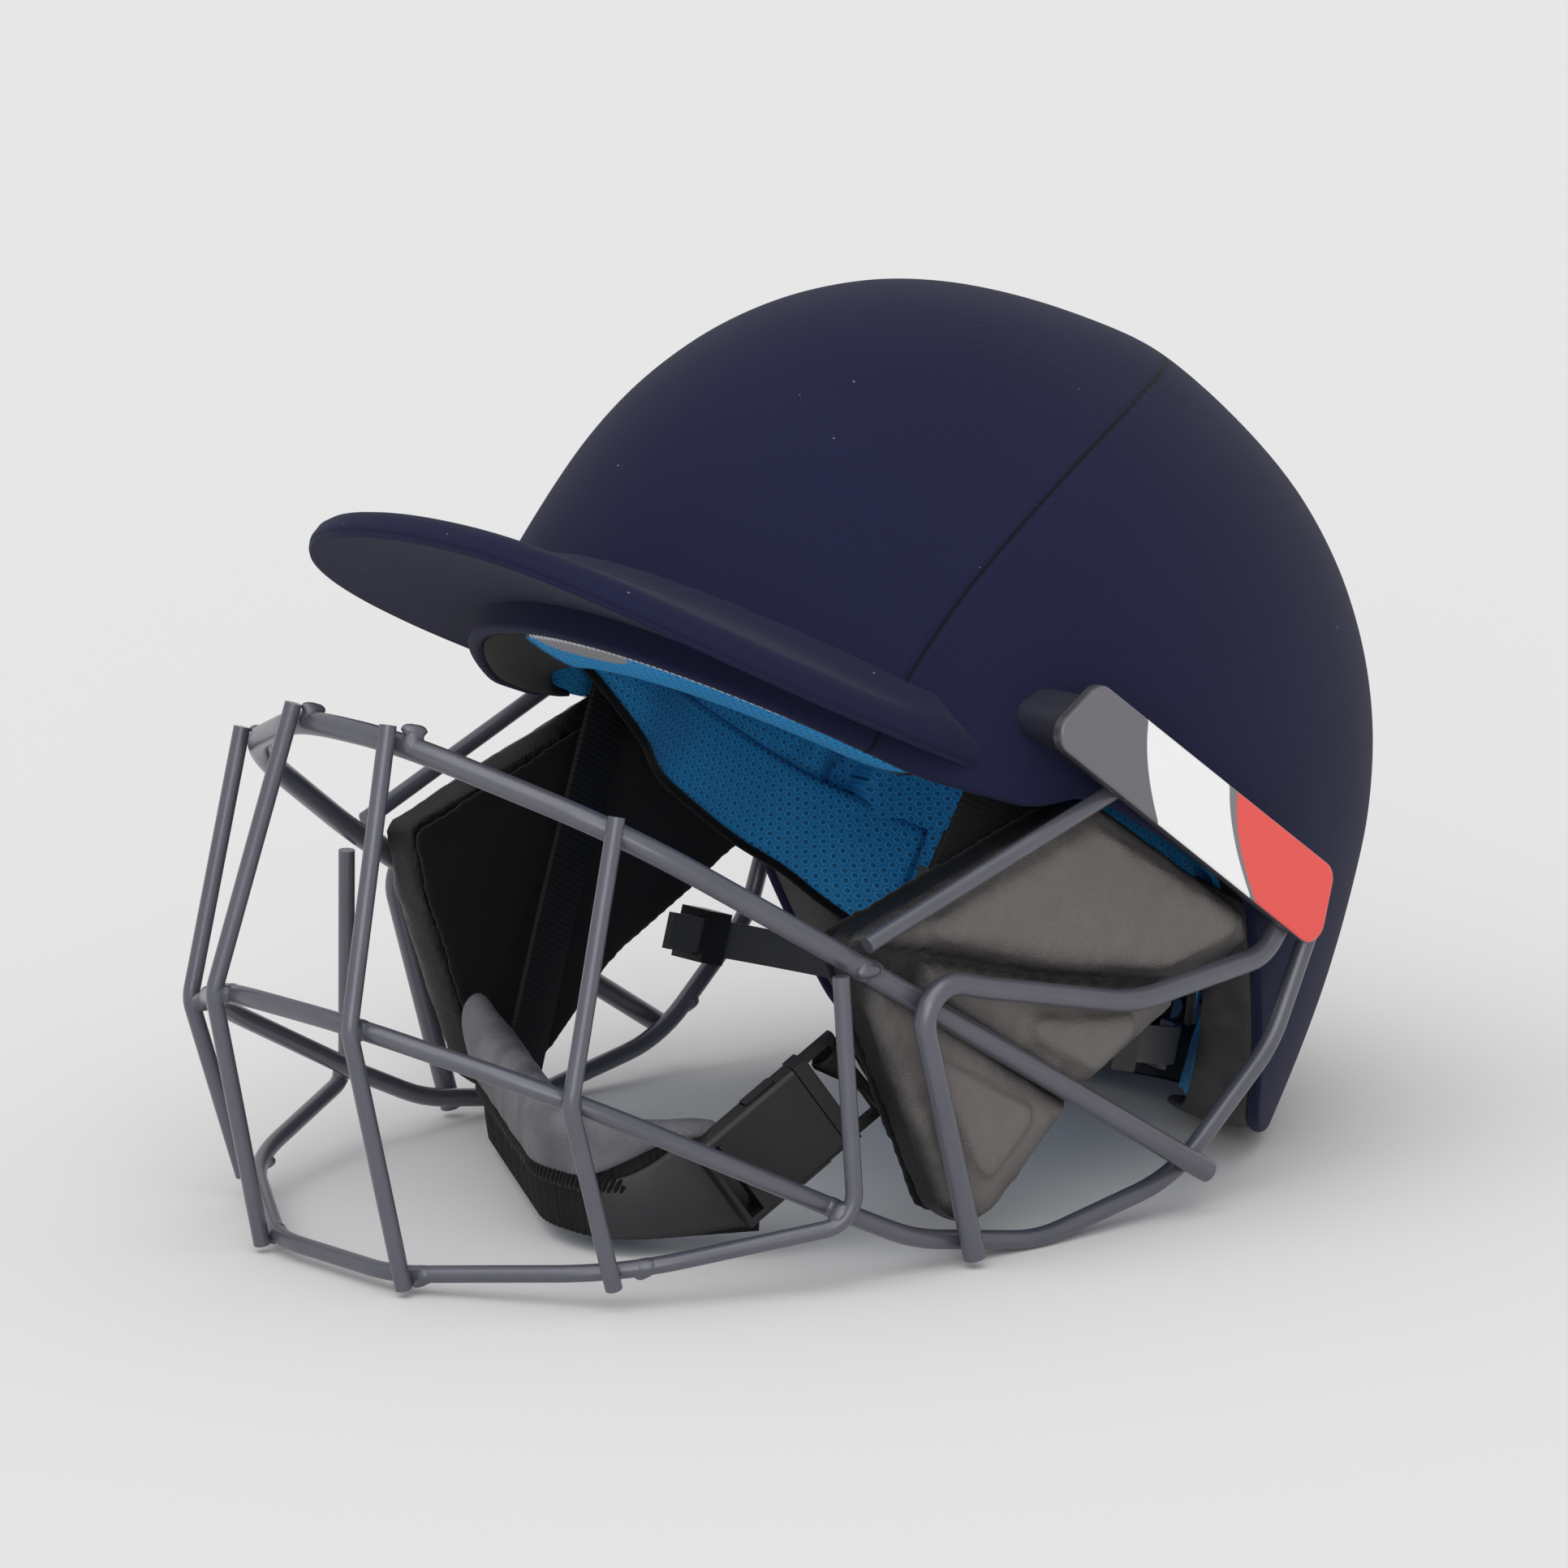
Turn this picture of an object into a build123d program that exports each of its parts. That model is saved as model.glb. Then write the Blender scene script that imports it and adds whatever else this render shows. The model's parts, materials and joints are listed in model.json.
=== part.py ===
from build123d import *
import os
from math import atan2, cos, degrees, pi, radians, sin, sqrt, tan

# A cricket helmet with a welded steel face guard, in millimetres.
# It is drawn as it is worn: +X to the wearer's left, +Y to the back, +Z up,
# with zero at the middle of the head. The last function tilts it back on to
# the floor, resting on the side rings of the guard and on the nape.

# Shell form
shell_half_width = 104.0
shell_half_length = 137.0
widest_drop = 42.3
side_radius = 316.0
side_sweep = 11.9
shoulder_radius = 113.8
shoulder_sweep = 72.35
skirt_drop = 75.0

# Layers of the shell, from outside in
cover_thickness = 1.2
shell_wall = 2.8
impact_wall = 15.0
comfort_wall = 6.5
layer_gap = 0.3
trim_thickness = 1.0
pad_seam = 0.8
crown_pad_z = 57.0

# Lower rim of the shell, seen from the side
rim_reach = 170.0
brow_rim_z = -31.0
temple_y = -78.0
temple_rise_y = -50.0
temple_rise_z = -25.0
ear_front_y = -36.0
ear_back_y = 30.0
ear_rim_z = -14.0
nape_start_y = 46.0
nape_start_z = -29.0
nape_low_y = 84.0
nape_flat = 12.0
nape_low_z = -60.0
nape_slope = 0.421
rim_radius = 8.0

# Seam between the two panels of the cover, seen from the side
seam_top = (8.0, 124.0)
seam_middle = (-60.5, 64.0)
seam_foot = (-92.0, -45.0)

# Peak
peak_half_width = 90.0
peak_root_y = -68.0
peak_length = 120.0
peak_fullness = 2.86
peak_side_z = -25.0
peak_arch = 11.0
peak_slope = 0.14
peak_thickness = 7.8
peak_board = 2.4
peak_board_inset = 6.0
peak_under_pad = 2.4
peak_steps = 12
peak_overrun = 30.0

# Wires of the guard
top_wire = 6.0
middle_wire = 5.0
bottom_wire = 4.4
upright_wire = 4.4
ear_wire = 5.8
temple_wire = 4.5

# Where the wires run
top_bar_z = -84.4
top_bar_back = (106.9, 48.0)
top_bar_ear = (96.0, -88.0)
top_bar_cheek = (75.5, -152.2)
top_bar_front = (20.0, -185.0)
top_bar_rise = 3.6
ring_back = (104.0, 50.5, -10.0)
ring_rear = (101.8, 56.5, -46.0)
ring_heel = (100.7, 43.5, -89.0)
ring_sole = (99.5, 8.0, -121.3)
ring_toe = (96.6, -30.0, -136.7)
jaw_side = (94.4, -56.0, -139.6)
jaw_cheek = (75.5, -132.3, -145.8)
jaw_front = (24.0, -166.2, -148.8)
chin_hang = (97.0, -89.3, -89.1)
chin_corner = (100.6, -54.5, -141.2)
chin_cheek = (73.0, -95.2, -177.0)
chin_front = (23.0, -119.5, -197.6)
inner_upright_top = (18.6, -189.6, -78.4)
inner_upright_bend = (27.0, -168.2, -150.6)
inner_upright_foot = (28.3, -119.1, -200.2)
outer_upright_top = (73.6, -157.4, -79.6)
outer_upright_bend = (75.4, -134.9, -147.4)
outer_upright_foot = (73.6, -95.8, -181.2)
ear_bar_top = (105.6, 38.5, -12.0)
ear_bar_rear = (106.6, 36.5, -28.0)
ear_bar_middle = (107.5, -2.0, -57.5)
ear_bar_front = (105.4, -50.0, -74.0)
ear_bar_elbow = (103.8, -73.0, -81.0)
ear_bar_foot = (103.2, -14.0, -134.0)
temple_bar_top = (106.2, -31.0, -7.0)
temple_bar_foot = (98.3, -86.6, -79.3)

# Bends of the wires, from the back end to the middle
top_bar_bends = (150.0, 60.0, 60.0)
middle_bar_bends = (30.0, 45.0, 45.0, 60.0, 40.0, 60.0, 50.0)
bottom_bar_bends = (9.0, 60.0, 30.0)
upright_bends = (10.0,)
ear_bar_bends = (14.0, 60.0, 60.0, 9.0)

# Side plates
plate_thickness = 3.0
plate_inner_x = 109.6
plate_corner = 5.5
plate_front_low = (-71.0, -13.1)
plate_front_high = (-61.7, 6.8)
plate_back_high = (42.8, 0.2)
plate_back_low = (49.3, -21.4)
plate_rim = 1.2
boss_diameter = 11.0
boss_front = (-52.0, 0.0)
boss_back = (28.0, -3.6)
screw_diameter = 5.0
screw_head = 9.0
screw_head_height = 2.4
screw_length = 14.0
screw_fit = 0.2
screw_shank_fit = 0.1
belt_share = 0.975
clamp_inset = 3.0
clamp_gap = 0.3

# Ear pads, drawn on a plane just inside the top bar
pad_face_x = 99.6
pad_slope = 0.0801
pad_thickness = 11.7
pad_puff = 3.6
pad_puff_round = 2.4
pad_corner = 4.0
lining_thickness = 3.0
pad_outline = (
    (-87.5, -79.5),
    (-33.0, -15.5),
    (28.0, -19.5),
    (34.0, -27.0),
    (20.0, -50.0),
    (1.0, -82.0),
    (-9.0, -120.0),
    (-13.5, -127.0),
    (-24.0, -127.0),
    (-73.0, -92.0),
)
upper_puff = ((-77.0, -72.0), (-33.0, -22.0), (30.0, -22.0), (8.0, -45.0), (-26.0, -60.0), (-58.0, -68.0))
middle_puff = ((-52.0, -79.0), (-18.0, -69.0), (11.0, -55.0), (0.0, -78.0))
lower_puff = ((-62.0, -94.0), (-12.0, -93.0), (-19.0, -117.0))

# Chin strap
strap_width = 20.0
strap_thickness = 1.6
anchor_y = -45.0
anchor_z = -14.0
anchor_x = 77.8
anchor_tail = 8.0
buckle_top = (66.3, -42.3, -101.4)
buckle_foot = (56.7, -55.9, -135.6)
cup_right_end = (-63.2, -30.2, -125.7)
strap_lean = 18.0
strap_bend = 30.0
strap_knee = 15.0
loop_fit = 0.1
rivet_head = 9.0
rivet_head_height = 1.5
rivet_shank = 4.0
rivet_length = 19.8
rivet_fit = 0.1
rivet_head_gap = 0.5
strap_slot_front = -72.0
strap_slot_back = -32.0
strap_slot_top = -4.0
slider_wall = 1.5
slider_length = 9.0
slider_fit = 0.35
slider_place = 38.0

# Chin cup, drawn on the floor that the helmet stands on
cup_run = ((-72.2, 118.0), (-66.0, 99.0), (12.0, 53.0), (36.0, 53.0), (53.0, 88.0))
cup_pad_run = ((-61.0, 96.0), (12.0, 53.0), (36.0, 53.0), (51.0, 84.0))
cup_pad_bends = (30.0, 18.0)
cup_bends = (14.0, 30.0, 18.0)
cup_band = 2.2
cup_band_low = 0.6
cup_band_height = 28.0
cup_pad = 6.0
cup_pad_low = 9.0
cup_pad_height = 27.0

# Buckle
buckle_width = 26.0
buckle_thickness = 8.0
socket_length = 24.0
socket_tail = 8.0
socket_wall = 1.6
web_slot = 4.0
web_slot_width = 21.0
tongue_share = 0.75
plug_length = 13.0
plug_block = 4.0
plug_bar = 3.0
plug_tongue = 6.0
arm_width = 4.2
arm_reach = 13.6
arm_inner = 7.0
arm_length = 16.0
window_start = 9.0
window_end = 19.0
buckle_fit = 0.35

# Nape adjuster
adjuster_y = 20.0
adjuster_z = -63.5
adjuster_tilt = 16.0
band_radius = 78.0
band_thickness = 2.0
band_height = 10.0
band_front = -9.0
band_back = 62.0
rack_back = 93.5
rack_edge = 8.0
pinion_teeth = 10
gear_module = 0.9
pressure_angle = 20.0
root_share = 1.3
tooth_addendum = 0.6
tooth_backlash = 0.35
tooth_root_sink = 0.1
shaft_diameter = 4.0
shaft_fit = 0.05
dial_diameter = 26.0
dial_thickness = 6.0
dial_grips = 12
grip_depth = 1.6
housing_half_angle = 24.0
housing_wall = 2.2
housing_fit = 0.35
case_seam = 0.1
cut_angle = 1.0
tab_width = 18.0
tab_thickness = 2.0
guide_angle = 6.0
guide_wall = 1.8
notch_width = 62.0
notch_top = -9.0
arm_back = 131.0
flange_low = -31.0
flange_height = 14.0
rivet_rise = 4.7
flange_rivet = 3.0

# The way it stands
stand_tilt = 32.0
floor_y = -113.5
floor_z = -194.3

overrun = 40.0


def superellipse(half_x, half_y, power, steps, start, end):
    """Points of a superellipse between two angles."""
    points = []
    for step in range(steps + 1):
        angle = radians(start + (end - start) * step / steps)
        c, s = cos(angle), sin(angle)
        x = half_x * abs(c) ** (2 / power) * (1 if c >= 0 else -1)
        y = half_y * abs(s) ** (2 / power) * (1 if s >= 0 else -1)
        points.append((x, y))
    return points


def narrow_share():
    """The head is as wide as this share of its length."""
    return shell_half_width / shell_half_length


def narrowed(shape):
    """A shape cut from the round dome, drawn in to the width of the head."""
    return scale(shape, by=(narrow_share(), 1, 1))


def widened(shape):
    """A shape of the true width, drawn out to cut the round dome."""
    return scale(shape, by=(1 / narrow_share(), 1, 1))


def arc_end(centre, radius, angle):
    return centre[0] + radius * cos(radians(angle)), centre[1] + radius * sin(radians(angle))


def dome(inset):
    """The round dome of three arcs, drawn in from the outside by inset."""
    shoulder_angle = side_sweep + shoulder_sweep
    side_centre = (shell_half_length - side_radius, -widest_drop)
    blend = arc_end(side_centre, side_radius - shoulder_radius, side_sweep)
    crown_radius = shoulder_radius + blend[0] / cos(radians(shoulder_angle))
    crown_centre = (0, blend[1] - (crown_radius - shoulder_radius) * sin(radians(shoulder_angle)))
    side = CenterArc(side_centre, side_radius - inset, 0, side_sweep)
    shoulder = CenterArc(blend, shoulder_radius - inset, side_sweep, shoulder_sweep)
    crown = CenterArc(crown_centre, crown_radius - inset, shoulder_angle, 90 - shoulder_angle)
    top = (0, crown_centre[1] + crown_radius - inset)
    foot = (shell_half_length - inset, -widest_drop)
    rest = Polyline(top, (0, -skirt_drop), (foot[0], -skirt_drop), foot)
    return revolve(make_face(Plane.XZ * (side + shoulder + crown + rest)), Axis.Z)


def layer(depth, wall):
    """A shell of even wall that starts at depth under the outside."""
    return dome(depth) - dome(depth + wall)


def above_rim(lift=0.0):
    """All that lies above the rim line, raised by lift."""
    nape_end_y = rim_reach
    nape_flat_y = nape_low_y + nape_flat
    nape_end_z = nape_low_z + (nape_end_y - nape_flat_y) * nape_slope
    line = [
        (-rim_reach, brow_rim_z),
        (temple_y, brow_rim_z),
        (temple_rise_y, temple_rise_z),
        (ear_front_y, ear_rim_z),
        (ear_back_y, ear_rim_z),
        (nape_start_y, nape_start_z),
        (nape_low_y, nape_low_z),
        (nape_flat_y, nape_low_z),
        (nape_end_y, nape_end_z),
    ]
    line = [(y, z + lift) for y, z in line]
    top = rim_reach
    low = FilletPolyline(*line, radius=rim_radius)
    high = Polyline(line[-1], (rim_reach, top), (-rim_reach, top), line[0])
    return extrude(Plane.YZ * make_face(low + high), amount=rim_reach, both=True)


def ahead_of_seam(shift=0.0):
    """All that lies ahead of the seam of the cover, moved back by shift."""
    top, middle, foot = [(y + shift, z) for y, z in (seam_top, seam_middle, seam_foot)]
    arc = ThreePointArc(top, middle, foot)
    rest = Polyline(foot, (-rim_reach, foot[1]), (-rim_reach, top[1]), top)
    return extrude(Plane.YZ * make_face(arc + rest), amount=rim_reach, both=True)


def slab(y_low, y_high, z_low=-rim_reach, z_high=rim_reach, half_x=rim_reach):
    """A block between two places along the head and two heights."""
    size = (2 * half_x, y_high - y_low, z_high - z_low)
    return Pos(0, (y_low + y_high) / 2, (z_low + z_high) / 2) * Box(*size)


def peak_sheet(low, high):
    """The arched, sloping sheet of the peak between two heights."""
    half = (peak_half_width + peak_overrun) / narrow_share()
    drop = peak_arch * (1 + peak_overrun / peak_half_width) ** 2
    foot = peak_side_z + peak_arch - drop + peak_slope * peak_overrun
    crest = foot + drop
    lower = ThreePointArc((-half, foot + low), (0, crest + low), (half, foot + low))
    upper = ThreePointArc((half, foot + high), (0, crest + high), (-half, foot + high))
    left = Line((half, foot + low), (half, foot + high))
    right = Line((-half, foot + high), (-half, foot + low))
    face = make_face(lower + left + upper + right)
    start = Plane.XZ.offset(-(peak_root_y + peak_overrun))
    run = peak_length + 2 * peak_overrun
    return extrude(start * face, amount=run * sqrt(1 + peak_slope**2), dir=(0, -1, -peak_slope))


def peak_plan(inset=0.0):
    """The outline of the peak from above, as a tall block."""
    width = (peak_half_width - inset) / narrow_share()
    length = peak_length - inset
    edge = superellipse(width, length, peak_fullness, peak_steps, 0, 180)
    points = [(x, peak_root_y - y) for x, y in edge]
    points[0] = (width, peak_root_y)
    points[-1] = (-width, peak_root_y)
    curve = Spline(*points, tangents=[(0, -1), (0, 1)])
    face = make_face(curve + Line(points[-1], points[0]))
    return extrude(face, amount=rim_reach, both=True)


def peak_slot():
    """The gap in the cover that the root of the peak comes through."""
    return peak_sheet(-layer_gap, peak_thickness + layer_gap) & slab(-rim_reach, peak_root_y + layer_gap)


def cover_front():
    blank = layer(0, cover_thickness) & above_rim() & ahead_of_seam(-pad_seam / 2)
    panels = (blank - peak_slot()).solids().sort_by(Axis.Z)
    return narrowed(panels[-1]), narrowed(panels[0])


def cover_rear():
    panel = narrowed((layer(0, cover_thickness) & above_rim()) - ahead_of_seam(pad_seam / 2) - peak_slot())
    for bore in side_bores(screw_diameter + 2 * screw_fit):
        panel -= bore
    return panel


def side_bores(diameter):
    """Bores for the plate screws through the sides of the shell."""
    bores = []
    for y, z in (boss_front, boss_back):
        bores.append(Pos(0, y, z) * (Rot(0, 90, 0) * Cylinder(diameter / 2, 2 * rim_reach)))
    return bores


def anchor_bores(diameter):
    """Bores for the rivets of the chin strap."""
    bore = Pos(0, 0, rivet_length) * Cylinder(diameter / 2, 2 * rivet_length)
    return [strap_plane(side) * bore for side in (-1, 1)]


def outer_shell():
    depth = cover_thickness + layer_gap
    moulding = layer(depth, shell_wall) & above_rim()
    board = peak_plan(peak_board_inset) & peak_sheet(peak_under_pad, peak_under_pad + peak_board)
    board -= dome(depth + shell_wall / 2)
    moulding += board
    bores = side_bores(screw_diameter + 2 * screw_fit) + anchor_bores(rivet_shank + 2 * rivet_fit)
    bores += flange_rivets(flange_rivet + 2 * rivet_fit, nape_low_y, rim_reach)
    moulding = narrowed(moulding)
    for bore in bores:
        moulding -= bore
    return moulding


def peak_pads():
    """The padded covers over and under the board of the peak."""
    body = peak_plan() - dome(-layer_gap)
    under = body & peak_sheet(0, peak_under_pad - layer_gap)
    over = body & peak_sheet(peak_under_pad, peak_thickness)
    pocket = peak_plan(peak_board_inset - layer_gap)
    over -= pocket & peak_sheet(0, peak_under_pad + peak_board + layer_gap)
    return narrowed(over), narrowed(under)


def nape_notch():
    """The room for the adjuster in the liners at the nape."""
    return slab(nape_low_y, rim_reach, -rim_reach, notch_top, notch_width / 2 / narrow_share())


def impact_liner():
    depth = cover_thickness + shell_wall + 2 * layer_gap
    liner = layer(depth, impact_wall) & above_rim(trim_thickness + layer_gap)
    liner -= nape_notch()
    bores = side_bores(screw_head + 2 * screw_fit) + anchor_bores(rivet_shank + 2 * rivet_fit)
    liner = narrowed(liner)
    for bore in bores:
        liner -= bore
    return liner


def comfort_pads():
    """The soft inner pads: brow, left, right, rear and crown."""
    depth = cover_thickness + shell_wall + impact_wall + 3 * layer_gap
    pads = layer(depth, comfort_wall) & above_rim(trim_thickness + layer_gap)
    gap = pad_seam / 2
    crown = pads & slab(temple_y + gap, nape_start_y - gap, crown_pad_z + gap, rim_reach)
    middle = pads & slab(temple_y + gap, nape_start_y - gap, -rim_reach, crown_pad_z - gap)
    brow = pads & slab(-rim_reach, temple_y - gap)
    rear = pads & slab(nape_start_y + gap, rim_reach)
    middle -= slab(strap_slot_front, strap_slot_back, -rim_reach, strap_slot_top)
    left = narrowed(middle & (Pos(rim_reach / 2, 0, 0) * Box(rim_reach, 2 * rim_reach, 2 * rim_reach)))
    right = mirror(left, about=Plane.YZ)
    return narrowed(brow), left, right, narrowed(rear - nape_notch()), narrowed(crown)


def rim_trims():
    """Thin bindings over the lower edges of the liners."""
    depth = cover_thickness + shell_wall + 2 * layer_gap
    wall = impact_wall + comfort_wall + layer_gap
    strip = (layer(depth, wall) & above_rim()) - above_rim(trim_thickness)
    brow = strip & slab(-rim_reach, strap_slot_front)
    nape = (strip & slab(ear_back_y, rim_reach)) - nape_notch()
    right, left = nape.solids().sort_by(Axis.X)
    return narrowed(brow), narrowed(left), narrowed(right)


def wire(points, diameter, radii):
    """A round bar along straight runs and tangent arcs."""
    path = FilletPolyline(*points, radius=list(radii)) if len(points) > 2 else Line(*points)
    start = Plane(origin=path @ 0, z_dir=path % 0)
    return sweep(start * Circle(diameter / 2), path=path)


def across(points):
    """The points and their mirror images, as one run from left to right."""
    return list(points) + [(-x, y, z) for x, y, z in reversed(points)]


def top_bar():
    back, ear, cheek, front = top_bar_back, top_bar_ear, top_bar_cheek, top_bar_front
    half = [
        (*back, top_bar_z),
        (*ear, top_bar_z),
        (*cheek, top_bar_z + top_bar_rise / 2),
        (*front, top_bar_z + top_bar_rise),
    ]
    return wire(across(half), top_wire, top_bar_bends + top_bar_bends[::-1])


def middle_bar():
    half = [ring_back, ring_rear, ring_heel, ring_sole, ring_toe, jaw_side, jaw_cheek, jaw_front]
    return wire(across(half), middle_wire, middle_bar_bends + middle_bar_bends[::-1])


def bottom_bar():
    half = [chin_hang, chin_corner, chin_cheek, chin_front]
    return wire(across(half), bottom_wire, bottom_bar_bends + bottom_bar_bends[::-1])


def uprights(top, bend, foot):
    bar = wire([top, bend, foot], upright_wire, upright_bends)
    return [bar, mirror(bar, about=Plane.YZ)]


def ear_bar():
    points = [ear_bar_top, ear_bar_rear, ear_bar_middle, ear_bar_front, ear_bar_elbow, ear_bar_foot]
    return wire(points, ear_wire, ear_bar_bends)


def temple_bar():
    return wire([temple_bar_top, temple_bar_foot], temple_wire, ())


def plate_face(inset=0.0):
    """The slanted outline of a side plate, seen from the side."""
    corners = [plate_front_low, plate_front_high, plate_back_high, plate_back_low]
    middle_y = sum(y for y, _ in corners) / 4
    middle_z = sum(z for _, z in corners) / 4
    points = []
    for y, z in corners:
        points.append((y + (inset if y < middle_y else -inset), z + (inset if z < middle_z else -inset)))
    ring = FilletPolyline(*points, radius=plate_corner, close=True)
    return Plane.YZ * make_face(ring)


def bosses(diameter, x_from, x_to):
    """Round studs at the two screw places of the left side."""
    studs = []
    for y, z in (boss_front, boss_back):
        stud = Rot(0, 90, 0) * Cylinder(diameter / 2, x_to - x_from)
        studs.append(Pos((x_from + x_to) / 2, y, z) * stud)
    return studs


def off_the_shell(shape):
    """What is left of a shape outside the helmet."""
    return narrowed(widened(shape) - dome(-layer_gap))


def side_plate():
    outer_x = plate_inner_x + plate_thickness
    plate = Pos(plate_inner_x, 0, 0) * extrude(plate_face(), amount=plate_thickness)
    rim = plate.faces().sort_by(Axis.X)[-1].edges()
    plate = fillet(rim, plate_rim)
    for stud in bosses(boss_diameter, overrun, plate_inner_x):
        plate += off_the_shell(stud)
    for bore in bosses(screw_diameter, overrun, outer_x - plate_thickness / 2):
        plate -= bore
    return plate


def guard_clamp(wires):
    """The moulded block behind a side plate that grips the ends of the wires."""
    depth = plate_inner_x - layer_gap
    block = off_the_shell(extrude(plate_face(clamp_inset), amount=depth))
    for stud in bosses(boss_diameter + 2 * clamp_gap, overrun, plate_inner_x):
        block -= stud
    for bar in wires:
        block -= bar
    return block.solids().sort_by(SortBy.VOLUME)[-1]


def plate_screws():
    """The four screws that hold the side plates from inside the shell."""
    screws = []
    wall_length = shell_half_length - cover_thickness - shell_wall - layer_gap
    for y, z in (boss_front, boss_back):
        edge = abs(y) + screw_head / 2
        seat = narrow_share() * sqrt((belt_share * wall_length) ** 2 - edge**2)
        inner = seat - layer_gap
        shank = Rot(0, 90, 0) * Cylinder(screw_diameter / 2 - screw_shank_fit, screw_length)
        head = Rot(0, 90, 0) * Cylinder(screw_head / 2, screw_head_height)
        screw = Pos(inner + screw_length / 2, y, z) * shank
        screw += Pos(inner - screw_head_height / 2, y, z) * head
        screws += [screw, mirror(screw, about=Plane.YZ)]
    return screws


def pad_plane():
    angle = atan2(pad_slope, 1)
    along = (sin(angle), cos(angle), 0)
    outward = (cos(angle), -sin(angle), 0)
    return Plane(origin=(pad_face_x, 0, 0), x_dir=along, z_dir=outward)


def ear_pad():
    face = make_face(FilletPolyline(*pad_outline, radius=pad_corner, close=True))
    pad = extrude(face, amount=-pad_thickness)
    for outline in (upper_puff, middle_puff, lower_puff):
        puff = extrude(make_face(FilletPolyline(*outline, radius=pad_corner, close=True)), amount=pad_puff)
        pad += fillet(puff.faces().sort_by(Axis.Z)[-1].edges(), pad_puff_round)
    return pad_plane() * pad


def ear_lining():
    face = make_face(FilletPolyline(*pad_outline, radius=pad_corner, close=True))
    sheet = extrude(face, amount=-lining_thickness)
    return pad_plane() * (Pos(0, 0, -pad_thickness - layer_gap) * sheet)


def strap_plane(side):
    """The flat of the chin strap at one side: x runs down it, z outward."""
    anchor = Vector(side * anchor_x, anchor_y, anchor_z)
    low = Vector(*(buckle_top if side > 0 else cup_right_end))
    lean = radians(strap_lean)
    foot = Vector(*buckle_foot) if side > 0 else low + Vector(sin(lean), -cos(lean), 0)
    normal = (anchor - low).cross(foot - low).normalized()
    outward = normal if normal.X * side > 0 else normal * -1
    return Plane(origin=anchor, x_dir=(low - anchor).normalized(), z_dir=outward)


def buckle_place():
    """The buckle's own place: x runs from the cup up to the strap."""
    flat = strap_plane(1)
    foot = Vector(*buckle_foot)
    run = (Vector(*buckle_top) - foot).normalized()
    return Plane(origin=foot, x_dir=run, z_dir=flat.z_dir)


def strip(outline):
    """A piece of webbing cut to an outline, its thickness about the middle."""
    return extrude(outline, amount=strap_thickness / 2, both=True)


def rivet_hole():
    return Cylinder(rivet_shank / 2 + rivet_fit, 4 * strap_thickness)


def strap_right():
    length = (Vector(*cup_right_end) - Vector(-anchor_x, anchor_y, anchor_z)).length
    run = length + anchor_tail
    outline = Pos(run / 2 - anchor_tail, 0) * RectangleRounded(run, strap_width, strap_thickness)
    return strap_plane(-1) * (strip(outline) - rivet_hole())


def strap_knee_place():
    """Where the left strap turns into the line of the buckle, on its own flat."""
    above_bar = Vector(socket_length + plug_length + strap_knee, 0, 0)
    return strap_plane(1).to_local_coords(buckle_place().from_local_coords(above_bar))


def strap_left():
    flat = strap_plane(1)
    place = buckle_place()
    bar = socket_length + plug_length
    low = flat.to_local_coords(place.from_local_coords(Vector(bar + plug_bar, 0, 0)))
    bend = strap_knee_place()
    tail = Vector(bend.X, bend.Y).normalized() * -anchor_tail
    path = FilletPolyline((tail.X, tail.Y), (bend.X, bend.Y), (low.X, low.Y), radius=strap_bend)
    body = strip(trace(path, line_width=strap_width)) - rivet_hole()
    ring_in = plug_bar / 2 + loop_fit
    ring = Circle(ring_in + strap_thickness) - Circle(ring_in)
    turned = Rot(90, 0, 0) * Pos(0, 0, -strap_width / 2) * extrude(ring, amount=strap_width)
    loop = Pos(bar, 0, 0) * turned
    bridge_start = bar + ring_in + strap_thickness / 2
    bridge_run = bar + plug_bar + strap_thickness - bridge_start
    bridge = Pos(bridge_start + bridge_run / 2, 0, 0) * Box(bridge_run, strap_width, strap_thickness)
    return flat * body + place * (loop + bridge)


def strap_slider():
    hole_y = strap_width + 2 * slider_fit
    hole_z = strap_thickness + 2 * slider_fit
    ring = Box(slider_length, hole_y + 2 * slider_wall, hole_z + 2 * slider_wall)
    ring -= Box(2 * slider_length, hole_y, hole_z)
    ring = fillet(ring.edges().filter_by(Axis.X), slider_fit)
    knee = strap_knee_place()
    turn = Rot(0, 0, degrees(atan2(knee.Y, knee.X)))
    return strap_plane(1) * (turn * (Pos(slider_place, 0, 0) * ring))


def strap_rivets():
    shank = Pos(0, 0, rivet_length / 2 - 2 * strap_thickness) * Cylinder(rivet_shank / 2, rivet_length)
    under = strap_thickness / 2 + rivet_head_gap
    head = Pos(0, 0, -under - rivet_head_height / 2) * Cylinder(rivet_head / 2, rivet_head_height)
    return [strap_plane(side) * (shank + head) for side in (-1, 1)]


def floor_run(points, bends):
    """A run drawn on the floor."""
    return FilletPolyline(*points, radius=list(bends))


def upright_band(path, shift, wall, low, height):
    """An upright band beside a run on the floor, shift to its left."""
    middle = shift + wall / 2
    line = offset(path, amount=middle, side=Side.LEFT, closed=False) if middle else path
    return floor_frame() * (Pos(0, 0, low) * extrude(trace(line, line_width=wall), amount=height))


def chin_cup():
    path = floor_run(cup_run, cup_bends)
    band = upright_band(path, -cup_band / 2, cup_band, cup_band_low, cup_band_height)
    inner_path = floor_run(cup_pad_run, cup_pad_bends)
    pad = upright_band(inner_path, cup_band / 2 + layer_gap, cup_pad, cup_pad_low, cup_pad_height)
    return band, pad


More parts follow.
